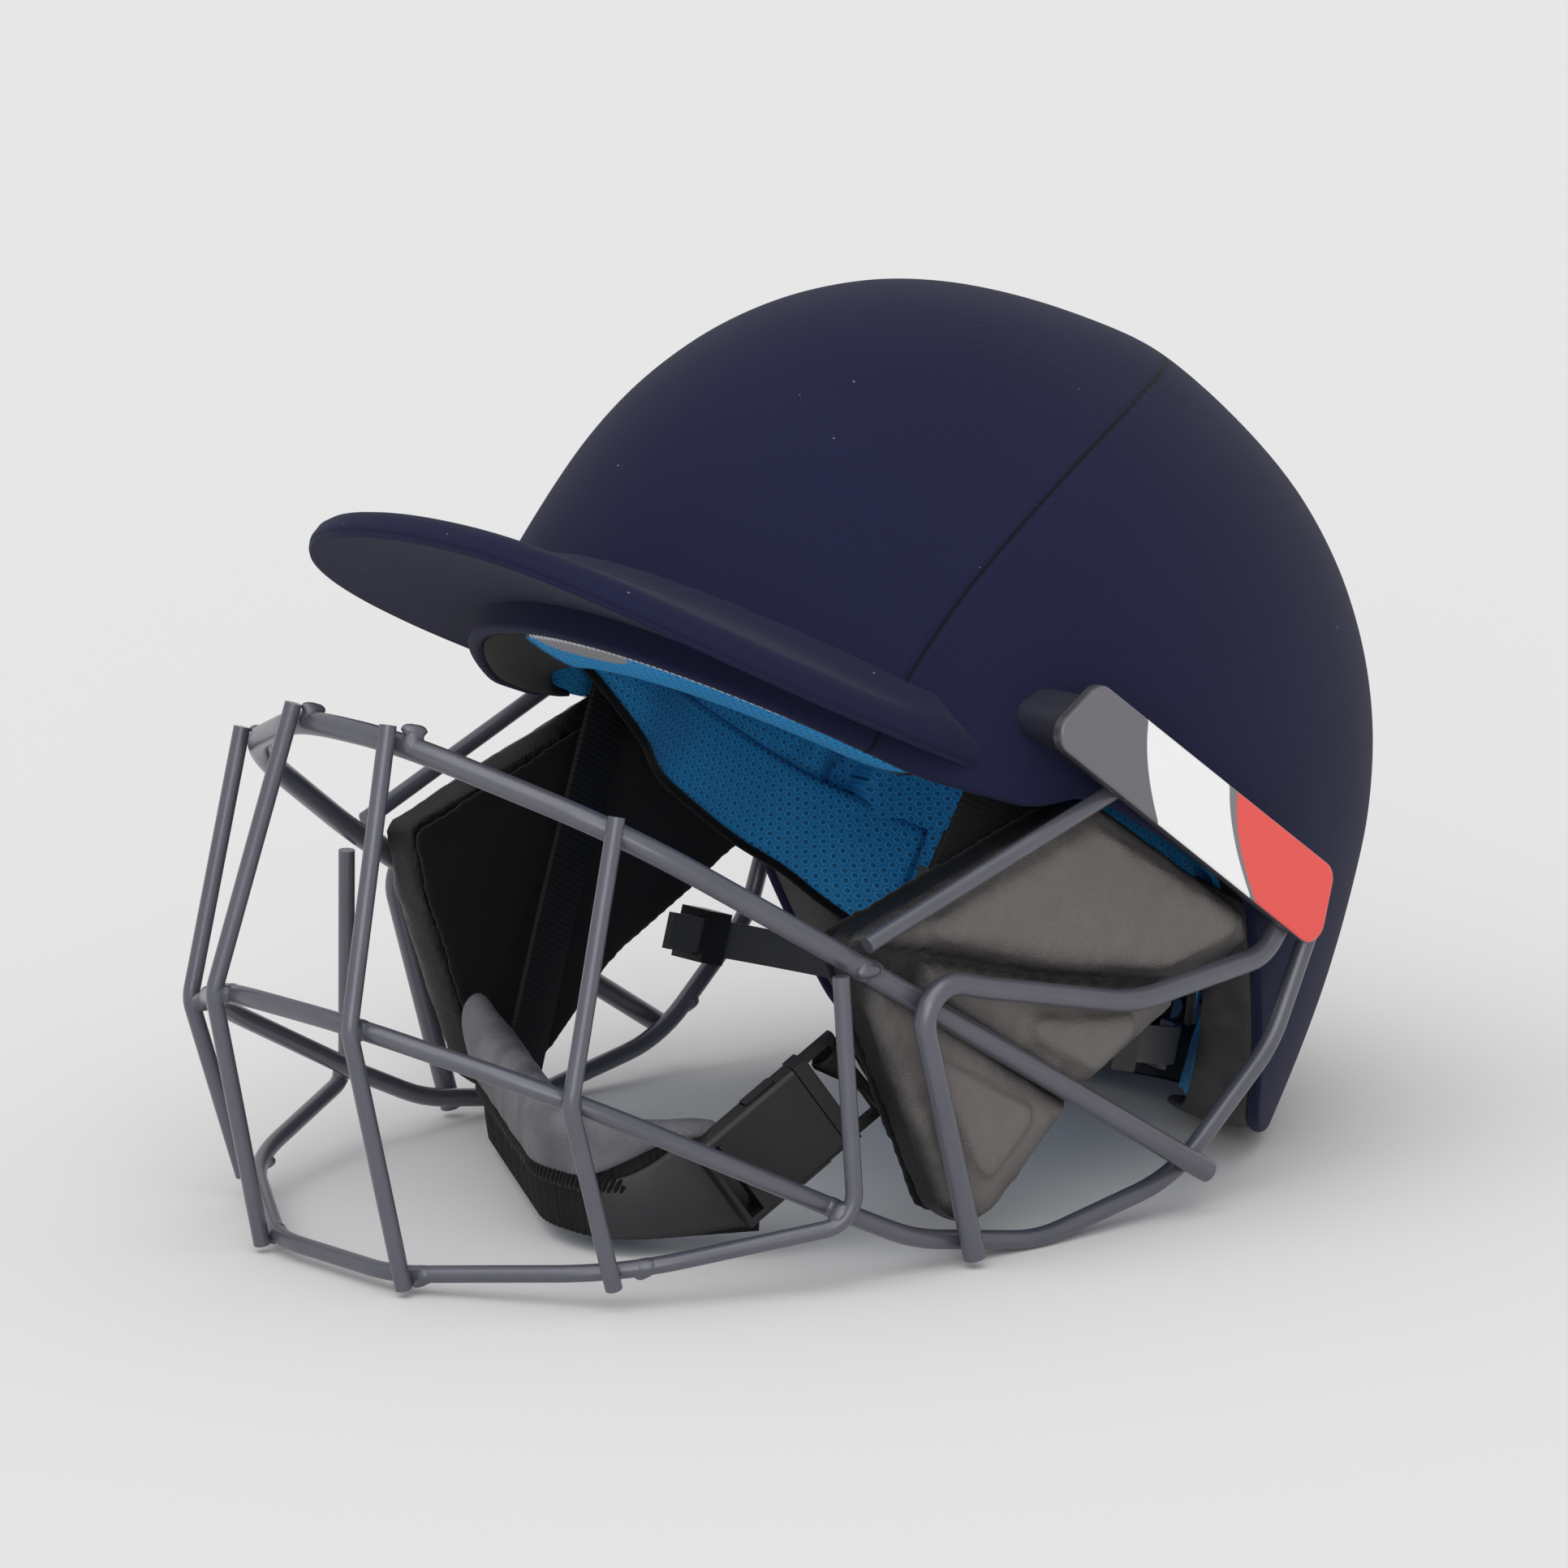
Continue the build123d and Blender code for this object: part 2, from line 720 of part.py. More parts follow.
def buckle_parts():
    """The socket, the plug and its two arms."""
    half = buckle_width / 2
    inside = buckle_thickness - 2 * socket_wall
    body_run = socket_length + socket_tail
    body = Pos(body_run / 2 - socket_tail, 0, 0) * Box(body_run, buckle_width, buckle_thickness)
    body = fillet(body.edges().filter_by(Axis.X), socket_wall)
    hollow = Box(socket_length, buckle_width - 2 * socket_wall, inside)
    body -= Pos(socket_length / 2 + socket_wall, 0, 0) * hollow
    window_run = window_end - window_start
    body -= Pos(window_start + window_run / 2, 0, 0) * Box(window_run, 2 * buckle_width, inside)
    slot = Box(web_slot, web_slot_width, 2 * buckle_thickness)
    body -= Pos(-socket_tail / 2 - socket_wall / 2, 0, 0) * slot
    start = socket_length + buckle_fit
    block = Pos(start + plug_block / 2, 0, 0) * Box(plug_block, buckle_width, buckle_thickness)
    tongue_run = socket_length * tongue_share
    tongue = Pos(start - tongue_run / 2, 0, 0) * Box(tongue_run, plug_tongue, inside - 2 * buckle_fit)
    frame_run = plug_length - plug_block - buckle_fit + plug_bar / 2
    plug = block + tongue
    for side in (-1, 1):
        cheek_width = half - strap_width / 2 - 2 * buckle_fit
        cheek = Pos(start + plug_block + frame_run / 2, side * (half - cheek_width / 2), 0)
        plug += cheek * Box(frame_run, cheek_width, plug_bar)
    bar = Rot(90, 0, 0) * Cylinder(plug_bar / 2, buckle_width - cheek_width)
    plug += Pos(socket_length + plug_length, 0, 0) * bar
    arm_height = inside - 2 * buckle_fit
    arm_middle = Pos(socket_length - arm_length / 2, arm_inner + arm_width / 2, 0)
    arm = arm_middle * Box(arm_length, arm_width, arm_height)
    bump_width = arm_reach - arm_inner
    bump = Box(window_run - 2 * buckle_fit, bump_width, arm_height)
    arm += Pos(window_start + window_run / 2, arm_inner + bump_width / 2, 0) * bump
    place = buckle_place()
    return place * body, place * plug, place * arm, place * mirror(arm, about=Plane.XZ)


def floor_frame():
    """The floor that the helmet stands on, as a place in the worn frame."""
    return Pos(0, floor_y, floor_z) * Rot(stand_tilt, 0, 0)


def adjuster_frame():
    """The plane of the nape bands, tilted up to the back."""
    return Pos(0, adjuster_y, adjuster_z) * Rot(adjuster_tilt, 0, 0)


def sector(inner, outer, start, end, low, high):
    """A curved bar about the middle of the head, between two angles."""
    outside = CenterArc((0, 0), outer, start, end - start)
    inside = CenterArc((0, 0), inner, start, end - start)
    ends = Line(outside @ 0, inside @ 0) + Line(outside @ 1, inside @ 1)
    face = make_face(outside + inside + ends)
    return Pos(0, 0, low) * extrude(face, amount=high - low)


def pitch_radius():
    return gear_module * pinion_teeth / 2


def rack_tooth(angle):
    """One tooth of the left rack, pointing up towards the pinion."""
    pitch = pi * gear_module
    half_root = (pitch / 2 - tooth_backlash) / 2 + gear_module * tan(radians(pressure_angle))
    half_tip = (pitch / 2 - tooth_backlash) / 2 - tooth_addendum * tan(radians(pressure_angle))
    tip = -pitch_radius() + tooth_addendum
    root = -pitch_radius() - gear_module
    outline = Polyline((-half_root, root), (-half_tip, tip), (half_tip, tip), (half_root, root), close=True)
    face = Plane.XZ * make_face(outline)
    tooth = Pos(0, band_radius - band_thickness, 0) * extrude(face, amount=-band_thickness)
    return Rot(0, 0, angle - 90) * tooth


def nape_band():
    """The left band: a strap with a rack that runs under the pinion."""
    inner = band_radius - band_thickness
    root = -pitch_radius() - gear_module + tooth_root_sink
    half = band_height / 2
    band = sector(inner, band_radius, band_front, band_back, -half, half)
    band += sector(inner, band_radius, band_back - guide_angle, band_back, -rack_edge, half)
    band += sector(inner, band_radius, band_back - guide_angle, rack_back, -rack_edge, root)
    pitch_angle = degrees(pi * gear_module / (band_radius - band_thickness / 2))
    count = int((rack_back - band_back) / pitch_angle) - 2
    for step in range(count):
        angle = 90 + pitch_angle - pitch_angle * step
        band += rack_tooth(angle)
    return band


def pinion_shape():
    """The toothed outline of the pinion, a tooth space facing each rack."""
    pitch = pi * gear_module
    base = pitch_radius()
    half_root = (pitch / 2 - tooth_backlash) / 2 + gear_module * tan(radians(pressure_angle))
    half_tip = (pitch / 2 - tooth_backlash) / 2 - tooth_addendum * tan(radians(pressure_angle))
    shape = Circle(base - gear_module)
    for step in range(pinion_teeth):
        outline = Polyline(
            (-half_root, base - root_share * gear_module),
            (-half_tip, base + tooth_addendum),
            (half_tip, base + tooth_addendum),
            (half_root, base - root_share * gear_module),
            close=True,
        )
        shape += Rot(0, 0, 360 / pinion_teeth * (step + 0.5)) * make_face(outline)
    return shape


def dial_parts():
    """The thumb dial and the pinion on its shaft."""
    back = band_radius + housing_fit + housing_wall + 2 * layer_gap
    inner = band_radius - band_thickness
    face = Plane.XZ.offset(-(band_radius + housing_fit / 2)) * pinion_shape()
    teeth = extrude(face, amount=band_thickness + housing_fit)
    shaft_run = back + dial_thickness / 2 - inner
    shaft = Pos(0, inner + shaft_run / 2, 0) * (Rot(90, 0, 0) * Cylinder(shaft_diameter / 2, shaft_run))
    disc = Rot(90, 0, 0) * Cylinder(dial_diameter / 2, dial_thickness)
    disc = Pos(0, back + dial_thickness / 2, 0) * disc
    for step in range(dial_grips):
        angle = radians(360 / dial_grips * step)
        reach = dial_diameter / 2 + grip_depth / 4
        groove = Pos(reach * cos(angle), back + dial_thickness / 2, reach * sin(angle))
        disc -= groove * (Rot(90, 0, 0) * Cylinder(grip_depth, 2 * dial_thickness))
    bore = Pos(0, inner + shaft_run / 2, 0) * (Rot(90, 0, 0) * Cylinder(shaft_diameter / 2, 2 * shaft_run))
    return disc - bore, teeth + shaft


def housing_parts():
    """The two halves of the case that guides the bands and the pinion."""
    inner = band_radius - band_thickness - housing_fit
    outer = band_radius + housing_fit
    reach = rack_edge + housing_fit
    start, end = 90 - housing_half_angle, 90 + housing_half_angle
    top = reach + housing_wall
    back = sector(inner, outer + housing_wall, start, end, -top, top)
    back -= sector(inner - housing_wall, outer, start - cut_angle, end + cut_angle, -reach, reach)
    bore = Pos(0, outer, 0) * (Rot(90, 0, 0) * Cylinder(shaft_diameter / 2 + shaft_fit, 4 * housing_wall))
    back -= bore
    front = sector(inner - housing_wall, inner - case_seam, start, end, -top, top)
    return back, front


def band_guide():
    """The loop on the ear lining that the front of a band runs through."""
    inner = band_radius - band_thickness - housing_fit
    outer = band_radius + housing_fit
    high = band_height / 2 + housing_fit
    low = -high
    depth = pad_thickness + lining_thickness + 2 * layer_gap
    foot = pad_face_x - depth
    base, top = low - guide_wall, high + guide_wall
    loop = sector(inner - guide_wall, foot + guide_wall, 0, guide_angle, base, top)
    loop -= sector(inner, outer, -cut_angle, guide_angle + cut_angle, low, high)
    beyond = Pos(0, 0, overrun - depth) * Box(2 * rim_reach, 2 * rim_reach, 2 * overrun)
    return adjuster_frame() * loop - pad_plane() * beyond


def case_bracket():
    """The arm that carries the case of the adjuster from the shell."""
    back = band_radius + housing_fit + housing_wall
    under = dial_diameter / 2 + layer_gap
    riser_low = rack_edge + housing_fit + housing_wall / 2
    riser_run = under + tab_thickness - riser_low
    riser = Box(tab_width, housing_wall, riser_run)
    riser = Pos(0, back - housing_wall / 2, riser_low + riser_run / 2) * riser
    reach = (arm_back - adjuster_y) / cos(radians(adjuster_tilt)) + tab_thickness
    run = reach - back + housing_wall
    arm = Pos(0, reach - run / 2, under + tab_thickness / 2) * Box(tab_width, run, tab_thickness)
    return riser + arm


def case_flange():
    """The foot of the arm, riveted to the inside of the shell."""
    middle = Pos(0, arm_back - tab_thickness / 2, flange_low + flange_height / 2)
    return middle * Box(tab_width, tab_thickness, flange_height)


def flange_rivets(diameter, start, end):
    """Rivets through the flange and the back of the shell."""
    rivets = []
    for side in (-1, 1):
        middle = Pos(side * tab_width / 4, (start + end) / 2, flange_low + rivet_rise)
        rivets.append(middle * (Rot(90, 0, 0) * Cylinder(diameter / 2, end - start)))
    return rivets


def adjuster_case():
    """The back of the case with its arm and flange, and the front of the case."""
    back, front = housing_parts()
    place = adjuster_frame()
    moulding = place * (back + case_bracket())
    moulding -= slab(arm_back, rim_reach)
    moulding += case_flange()
    for bore in flange_rivets(flange_rivet + 2 * rivet_fit, nape_low_y, rim_reach):
        moulding -= bore
    return moulding, place * front


def adjuster_rivets():
    """Two rivets, each a shank and a flat head inside the flange."""
    inside = arm_back - tab_thickness
    end = shell_half_length - cover_thickness - 4 * layer_gap
    rivets = []
    seat = inside - case_seam
    heads = flange_rivets(2 * flange_rivet, seat - rivet_head_height, seat)
    for shank, head in zip(flange_rivets(flange_rivet, inside - rivet_head_height, end), heads):
        rivets.append(shank + head)
    return rivets


def stand(shape):
    """The piece, or each of a set of like pieces, tilted back on to the floor."""
    solids = shape if isinstance(shape, list) else [shape]
    standing = [floor_frame().inverse() * solid for solid in solids]
    return Compound(children=standing) if len(standing) > 1 else standing[0]


def to_origin(pieces):
    """The move that brings the middle of the underside of all pieces to zero."""
    boxes = [piece.bounding_box() for piece in pieces]
    front = min(box.min.Y for box in boxes)
    back = max(box.max.Y for box in boxes)
    return Pos(0, -(front + back) / 2, -min(box.min.Z for box in boxes))


def main():
    os.makedirs("parts", exist_ok=True)
    peak_over, peak_under = peak_pads()
    brow, left, right, rear, crown = comfort_pads()
    brow_trim, nape_left, nape_right = rim_trims()
    front_panel, brow_strip = cover_front()
    middle = middle_bar()
    ear, temple = ear_bar(), temple_bar()
    clamp = guard_clamp([ear, temple, middle])
    cup_webbing, cup_cushion = chin_cup()
    socket, plug, arm_front, arm_back_piece = buckle_parts()
    dial, pinion = dial_parts()
    case_back, case_front = adjuster_case()
    case = adjuster_frame()
    band = nape_band()
    nodes = {
        "outer_shell": outer_shell(),
        "cover_front_panel": front_panel,
        "cover_brow_strip": brow_strip,
        "cover_rear_panel": cover_rear(),
        "peak_top_pad": peak_over,
        "peak_under_pad": peak_under,
        "impact_liner": impact_liner(),
        "brow_pad": brow,
        "rear_pad": rear,
        "crown_pad": crown,
        "side_pad_left": left,
        "side_pad_right": right,
        "brow_trim": brow_trim,
        "nape_trim_left": nape_left,
        "nape_trim_right": nape_right,
        "guard_top_bar": top_bar(),
        "guard_middle_bar": middle,
        "guard_bottom_bar": bottom_bar(),
        "guard_inner_uprights": uprights(inner_upright_top, inner_upright_bend, inner_upright_foot),
        "guard_outer_uprights": uprights(outer_upright_top, outer_upright_bend, outer_upright_foot),
        "plate_screws": plate_screws(),
        "strap_left": strap_left(),
        "strap_right": strap_right(),
        "strap_slider": strap_slider(),
        "strap_rivets": strap_rivets(),
        "cup_webbing": cup_webbing,
        "chin_cup": cup_cushion,
        "buckle_socket": socket,
        "buckle_plug": plug,
        "buckle_arm_front": arm_front,
        "buckle_arm_back": arm_back_piece,
        "adjuster_dial": case * dial,
        "adjuster_pinion": case * pinion,
        "adjuster_case_back": case_back,
        "adjuster_case_front": case_front,
        "adjuster_rivets": adjuster_rivets(),
        "nape_band_left": case * band,
        "nape_band_right": case * (Rot(0, 180, 0) * band),
    }
    pairs = {
        "guard_ear_bar": ear,
        "guard_temple_bar": temple,
        "side_plate": side_plate(),
        "guard_clamp": clamp,
        "ear_pad": ear_pad(),
        "ear_lining": ear_lining(),
        "band_guide": band_guide(),
    }
    for name, shape in pairs.items():
        nodes[name + "_left"] = shape
        nodes[name + "_right"] = mirror(shape, about=Plane.YZ)
    standing = {name: stand(shape) for name, shape in nodes.items()}
    shift = to_origin(standing.values())
    print("moved by", shift.position)
    for name, shape in standing.items():
        export_step(shift * shape, f"parts/{name}.step")


main()
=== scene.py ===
import json
import math
from functools import partialmethod
from itertools import combinations
import bmesh
import bpy
from mathutils import Matrix, Vector, geometry, noise
from mathutils.kdtree import KDTree

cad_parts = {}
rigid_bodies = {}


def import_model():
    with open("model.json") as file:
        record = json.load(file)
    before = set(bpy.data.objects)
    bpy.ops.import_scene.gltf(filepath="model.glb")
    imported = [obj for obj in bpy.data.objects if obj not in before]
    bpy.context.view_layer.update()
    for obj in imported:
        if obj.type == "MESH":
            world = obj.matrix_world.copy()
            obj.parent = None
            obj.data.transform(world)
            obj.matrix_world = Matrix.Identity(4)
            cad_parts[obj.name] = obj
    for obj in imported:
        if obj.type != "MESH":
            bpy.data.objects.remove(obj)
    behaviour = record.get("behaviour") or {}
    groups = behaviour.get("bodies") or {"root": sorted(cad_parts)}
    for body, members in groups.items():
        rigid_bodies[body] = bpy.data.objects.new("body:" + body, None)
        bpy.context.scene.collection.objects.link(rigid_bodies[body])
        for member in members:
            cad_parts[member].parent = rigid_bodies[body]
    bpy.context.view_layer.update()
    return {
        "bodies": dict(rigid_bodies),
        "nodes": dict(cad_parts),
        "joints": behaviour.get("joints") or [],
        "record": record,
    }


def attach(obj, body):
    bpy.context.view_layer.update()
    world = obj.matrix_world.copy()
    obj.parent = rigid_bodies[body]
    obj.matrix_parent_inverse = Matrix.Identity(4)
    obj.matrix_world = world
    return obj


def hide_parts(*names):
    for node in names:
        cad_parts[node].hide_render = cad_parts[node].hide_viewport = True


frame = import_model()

nodes = frame["nodes"]

# how the helmet stands, from the worn frame (mm, +Y to the back) to the frame of the row (m)
stance = {"tilt": 32.0, "floorY": -113.5, "floorZ": -194.3, "moveY": -151.783, "moveZ": 4.26275}
tiltTurn = Matrix.Rotation(math.radians(-stance["tilt"]), 3, "X")
footing = Vector((0, stance["floorY"], stance["floorZ"]))
rowMove = Vector((0, stance["moveY"], stance["moveZ"]))


def toRow(p):
    return (tiltTurn @ (Vector(p) - footing) + rowMove) / 1000


def toWorn(p):
    return tiltTurn.transposed() @ (Vector(p) * 1000 - rowMove) + footing


# node sockets that can be added and multiplied like numbers
class Value:
    def __init__(self, finish, socket):
        self.finish, self.socket = finish, socket

    def math(self, kind, *others):
        return self.finish.node("Math", {"operation": kind}, [self, *others])

    def __rsub__(self, other):
        return self.finish.node("Math", {"operation": "SUBTRACT"}, [other, self])

    def between(self, low, high):  # 0 below low, 1 above high
        return self.finish.node("MapRange", {"interpolation_type": "SMOOTHSTEP"}, {0: self, 1: low, 2: high})


operators = {
    "add": "ADD", "mul": "MULTIPLY", "sub": "SUBTRACT", "truediv": "DIVIDE", "gt": "GREATER_THAN",
    "lt": "LESS_THAN",
}
for name, kind in operators.items():
    setattr(Value, f"__{name}__", partialmethod(Value.math, kind))


class Finish:
    def __init__(self, name):
        self.material = bpy.data.materials.new(name)
        self.material.use_nodes = True
        self.tree = self.material.node_tree
        self.tree.nodes.clear()
        self.shader = self.tree.nodes.new("ShaderNodeBsdfPrincipled")
        out = self.tree.nodes.new("ShaderNodeOutputMaterial")
        self.tree.links.new(self.shader.outputs[0], out.inputs[0])

    def node(self, kind, settings, sockets, out=0):
        made = self.tree.nodes.new("ShaderNode" + kind)
        for key, value in settings.items():
            setattr(made, key, value)
        for key, value in sockets.items() if isinstance(sockets, dict) else enumerate(sockets):
            self.feed(made.inputs[key], value)
        if out is None:
            return [Value(self, socket) for socket in made.outputs]
        return Value(self, made.outputs[out])

    def feed(self, socket, value):
        if isinstance(value, Value):
            self.tree.links.new(value.socket, socket)
        else:
            socket.default_value = value

    def set(self, **sockets):
        for key, value in sockets.items():
            self.feed(self.shader.inputs[socketNames[key]], value)
        return self.material

    def spot(self):  # place in the frame of the row, in mm
        coords = self.node("TexCoord", {}, {}, "Object")
        return self.node("VectorMath", {"operation": "SCALE"}, {0: coords, "Scale": 1000.0})

    def worn(self):  # the head's own x, y and z, in mm
        move = footing - tiltTurn.transposed() @ rowMove
        turn = (math.radians(stance["tilt"]), 0, 0)
        placed = self.node("Mapping", {}, {"Vector": self.spot(), "Location": move, "Rotation": turn})
        return [placed] + self.node("SeparateXYZ", {}, [placed], None)

    def noise(self, vector, size, detail=3.0):
        return self.node("TexNoise", {}, {"Vector": vector, "Scale": size, "Detail": detail})

    def mix(self, share, first, second):
        return self.node("Mix", {"data_type": "RGBA"}, {0: share, 6: first, 7: second}, 2)

    def bump(self, height, distance, strength=1.0, below=None):
        sockets = {"Height": height, "Strength": strength, "Distance": distance}
        if below:
            sockets["Normal"] = below
        return self.node("Bump", {}, sockets, "Normal")

    def attribute(self, name):
        return self.node("Attribute", {"attribute_name": name}, {}, "Fac")


socketNames = {
    "baseColor": "Base Color", "roughness": "Roughness", "metallic": "Metallic", "normal": "Normal",
    "coat": "Coat Weight", "coatRoughness": "Coat Roughness", "specular": "Specular IOR Level",
    "sheen": "Sheen Weight", "sheenRoughness": "Sheen Roughness",
}


def tone(r, g, b):
    return tuple((c / 255) ** 2.2 for c in (r, g, b)) + (1.0,)


# shape of the shell, the same three arcs as the CAD dome
dome = {
    "halfWidth": 104.0, "halfLength": 137.0, "drop": 42.3, "sideRadius": 316.0, "sideSweep": 11.9,
    "shoulderRadius": 113.8, "shoulderSweep": 72.35,
}
share = dome["halfWidth"] / dome["halfLength"]
shoulderEnd = math.radians(dome["sideSweep"] + dome["shoulderSweep"])
sideSweep = math.radians(dome["sideSweep"])
sideMiddle = (dome["halfLength"] - dome["sideRadius"], -dome["drop"])
reach = dome["sideRadius"] - dome["shoulderRadius"]
shoulderMiddle = (sideMiddle[0] + reach * math.cos(sideSweep), sideMiddle[1] + reach * math.sin(sideSweep))
crownRadius = dome["shoulderRadius"] + shoulderMiddle[0] / math.cos(shoulderEnd)
crownMiddle = (0.0, shoulderMiddle[1] - (crownRadius - dome["shoulderRadius"]) * math.sin(shoulderEnd))
domeArcs = (
    (crownMiddle, crownRadius, math.pi / 2, shoulderEnd),
    (shoulderMiddle, dome["shoulderRadius"], shoulderEnd, sideSweep),
    (sideMiddle, dome["sideRadius"], sideSweep, 0.0),
)


def domeAt(turn, run, depth=0.0):  # run in mm from the crown, turn from +X round to +Y
    for middle, size, start, end in domeArcs:
        length = size * (start - end)
        if run <= length:
            angle = start - run / size
            radius = middle[0] + (size - depth) * math.cos(angle)
            z = middle[1] + (size - depth) * math.sin(angle)
            break
        run -= length
    else:
        radius, z = dome["halfLength"] - depth, -dome["drop"] - run
    return Vector((radius * math.cos(turn) * share, radius * math.sin(turn), z))


def domeRadius(z, depth=0.0):
    if z <= -dome["drop"]:
        return dome["halfLength"] - depth
    for middle, size, start, end in reversed(domeArcs):
        if z <= middle[1] + (size - depth) * math.sin(start):
            return middle[0] + math.sqrt(max(0.0, (size - depth) ** 2 - (z - middle[1]) ** 2))
    return 0.0


def inDome(p, depth=0.0):
    return math.hypot(p[0] / share, p[1]) < domeRadius(p[2], depth)


rim = {  # the shell's lower edge from the side, as (y, z)
    "line": (
        (-170, -31), (-78, -31), (-50, -25), (-36, -14), (30, -14), (46, -29), (84, -60), (96, -60),
        (170, -28.8),
    ),
    "smooth": 5.0, "samples": 7, "start": -30.0, "tries": 12, "approach": 0.8,
}


def rimLevel(y):
    line, total, steps = rim["line"], 0.0, rim["samples"]
    for step in range(steps):
        spot = y + rim["smooth"] * (2 * step / (steps - 1) - 1)
        for (y0, z0), (y1, z1) in zip(line, line[1:]):
            if y0 <= spot <= y1:
                total += z0 + (z1 - z0) * (spot - y0) / (y1 - y0)
    return total / steps


def rimAt(turn, depth, lift=0.0):  # a point on the rim at a depth, raised by lift
    z = rim["start"]
    for _ in range(rim["tries"]):
        y = domeRadius(z, depth) * math.sin(turn)
        z += (rimLevel(y) + lift - z) * rim["approach"]
    radius = domeRadius(z, depth)
    return Vector((radius * math.cos(turn) * share, radius * math.sin(turn), z))


# colours and grain of the finishes
knit = {"base": tone(33, 35, 64), "deep": tone(25, 27, 52), "lint": tone(150, 150, 165), "twill": 0.85}
# width is the band of painted shade along the seam's groove
seam = {"points": ((8.0, 124.0), (-60.5, 64.0), (-92.0, -45.0)), "width": 0.8, "pucker": 5.0, "dip": 1.6}
steel = {"base": tone(98, 98, 108), "deep": tone(84, 84, 94)}
plate = {
    "grey": tone(102, 100, 106), "white": tone(242, 242, 242), "line": tone(120, 118, 122),
    "red": tone(232, 78, 72), "back": tone(60, 60, 64), "faceFrom": 112.2, "blur": 0.4,
    "edges": (("white", 0.62, 0.0205, -39.1), ("line", 0.7, 0.023, -4.1), ("red", 0.55, 0.028, -0.9)),
}
meshLining = {
    "blue": tone(52, 164, 232), "deep": tone(32, 118, 178), "eyelet": tone(10, 44, 78),
    "pitch": 2.7, "strand": 0.75,
}
# worn is the lighter tone of the ear pads' puff tops, a painted highlight
hide = {"dark": tone(78, 75, 74), "light": tone(92, 88, 87), "worn": tone(116, 110, 108)}
greyHide = {"dark": tone(90, 90, 95), "light": tone(116, 116, 121)}
napeHide = {"dark": tone(58, 57, 58), "light": tone(74, 72, 73)}
web = {"base": tone(30, 30, 32), "deep": tone(12, 12, 13), "rib": 1.6, "warp": 1.1}
foam = {"low": tone(20, 20, 22), "high": tone(36, 36, 38), "bead": 0.3, "facedFrom": 17.5}
brow = {
    # quiltShade and quiltHighlight are the painted shade and painted highlight of the quilting
    "binding": tone(15, 15, 17), "quiltShade": tone(118, 118, 122), "quiltHighlight": tone(168, 168, 172),
    "quilt": 1.9, "patchX": 2.0, "patchDepth": 6.0, "patchSize": 7.4, "thread": tone(215, 215, 215),
    "stitch": 1.7,
}


def circleThrough(a, b, c):  # middle and radius
    (ax, ay), (bx, by), (cx, cy) = a, b, c
    d = 2 * (ax * (by - cy) + bx * (cy - ay) + cx * (ay - by))
    sa, sb, sc = ax * ax + ay * ay, bx * bx + by * by, cx * cx + cy * cy
    x = (sa * (by - cy) + sb * (cy - ay) + sc * (ay - by)) / d
    y = (sa * (cx - bx) + sb * (ax - cx) + sc * (bx - ax)) / d
    return x, y, math.hypot(ax - x, ay - y)


def wave(value, period):
    return (value * (2 * math.pi / period)).math("SINE")


def makeKnit(withSeam):
    f = Finish("knitCloth" if withSeam else "knitPeak")
    spot, x, y, z = f.worn()
    rib = wave(x * 0.6 + y + z * 1.3, knit["twill"])
    loop = wave(x - y * 0.7 + z * 0.9, knit["twill"] * 1.3)
    weave = rib * 0.6 + loop * 0.4
    broad = f.noise(spot, 0.02, 4.0)
    flake = f.node("TexVoronoi", {}, {"Vector": spot, "Scale": 0.11}, "Distance")
    speck = (flake < 0.035) * (f.noise(spot, 0.3) > 0.52)
    body = f.mix(broad * 0.6 + weave * 0.16 + 0.15, knit["deep"], knit["base"])
    height = f.bump(weave, 0.0001, 0.5)
    if withSeam:
        cx, cy, r = circleThrough(*seam["points"])
        away = (((y - cx) * (y - cx) + (z - cy) * (z - cy)).math("SQRT") - r).math("ABSOLUTE")
        # painted shade: the seam's groove is painted near black over its width
        gap = 1.0 - away.between(0.0, seam["width"])
        pucker = 1.0 - away.between(0.0, seam["pucker"])
        body = f.mix(gap * 0.9, body, tone(8, 8, 16))
        ripple = f.noise(spot, 0.35, 1.0) * pucker
        height = f.bump(ripple * 0.5 + away.between(0.0, seam["dip"]), 0.0006, 0.8, height)
    body = f.mix(speck * 0.55, body, knit["lint"])
    return f.set(baseColor=body, roughness=0.86, normal=height, sheen=0.04, sheenRoughness=0.5, specular=0.2)


def makeSteel():
    f = Finish("coatedSteel")
    spot = f.spot()
    peel = f.noise(spot, 1.6, 2.0)
    worn = f.noise(spot, 0.05, 4.0)
    body = f.mix(worn, steel["deep"], steel["base"])
    height, rough = f.bump(peel, 0.00012, 0.35), peel * 0.12 + 0.3
    return f.set(baseColor=body, roughness=rough, metallic=0.4, normal=height, coat=0.4, coatRoughness=0.2)


def makeHide(name, values, grain, grooved=False):  # the painted highlight on the puff tops and the painted shade in the grooves come from the mesh's attributes
    f = Finish(name)
    spot = f.spot()
    cell = f.node("TexVoronoi", {"feature": "DISTANCE_TO_EDGE"}, {"Vector": spot, "Scale": grain}, "Distance")
    crease = f.noise(spot, 0.09, 5.0)
    body = f.mix(crease.between(0.3, 0.75), values["dark"], values["light"])
    if grooved:
        # painted highlight: the puff tops are mixed toward the lighter tone
        body = f.mix(f.attribute("puff").between(0.1, 1.0) * 0.5, body, values["worn"])
        # painted shade: near black in the grooves between puffs and round the pad's sides
        body = f.mix(f.attribute("groove"), body, tone(20, 20, 22))
    fold = f.bump(f.noise(spot, 0.25, 4.0), 0.0008, 0.3)
    height = f.bump(cell.between(0.0, 0.25), 0.00016, 0.6, fold)
    return f.set(baseColor=body, roughness=crease * 0.2 + 0.42, normal=height, specular=0.4)


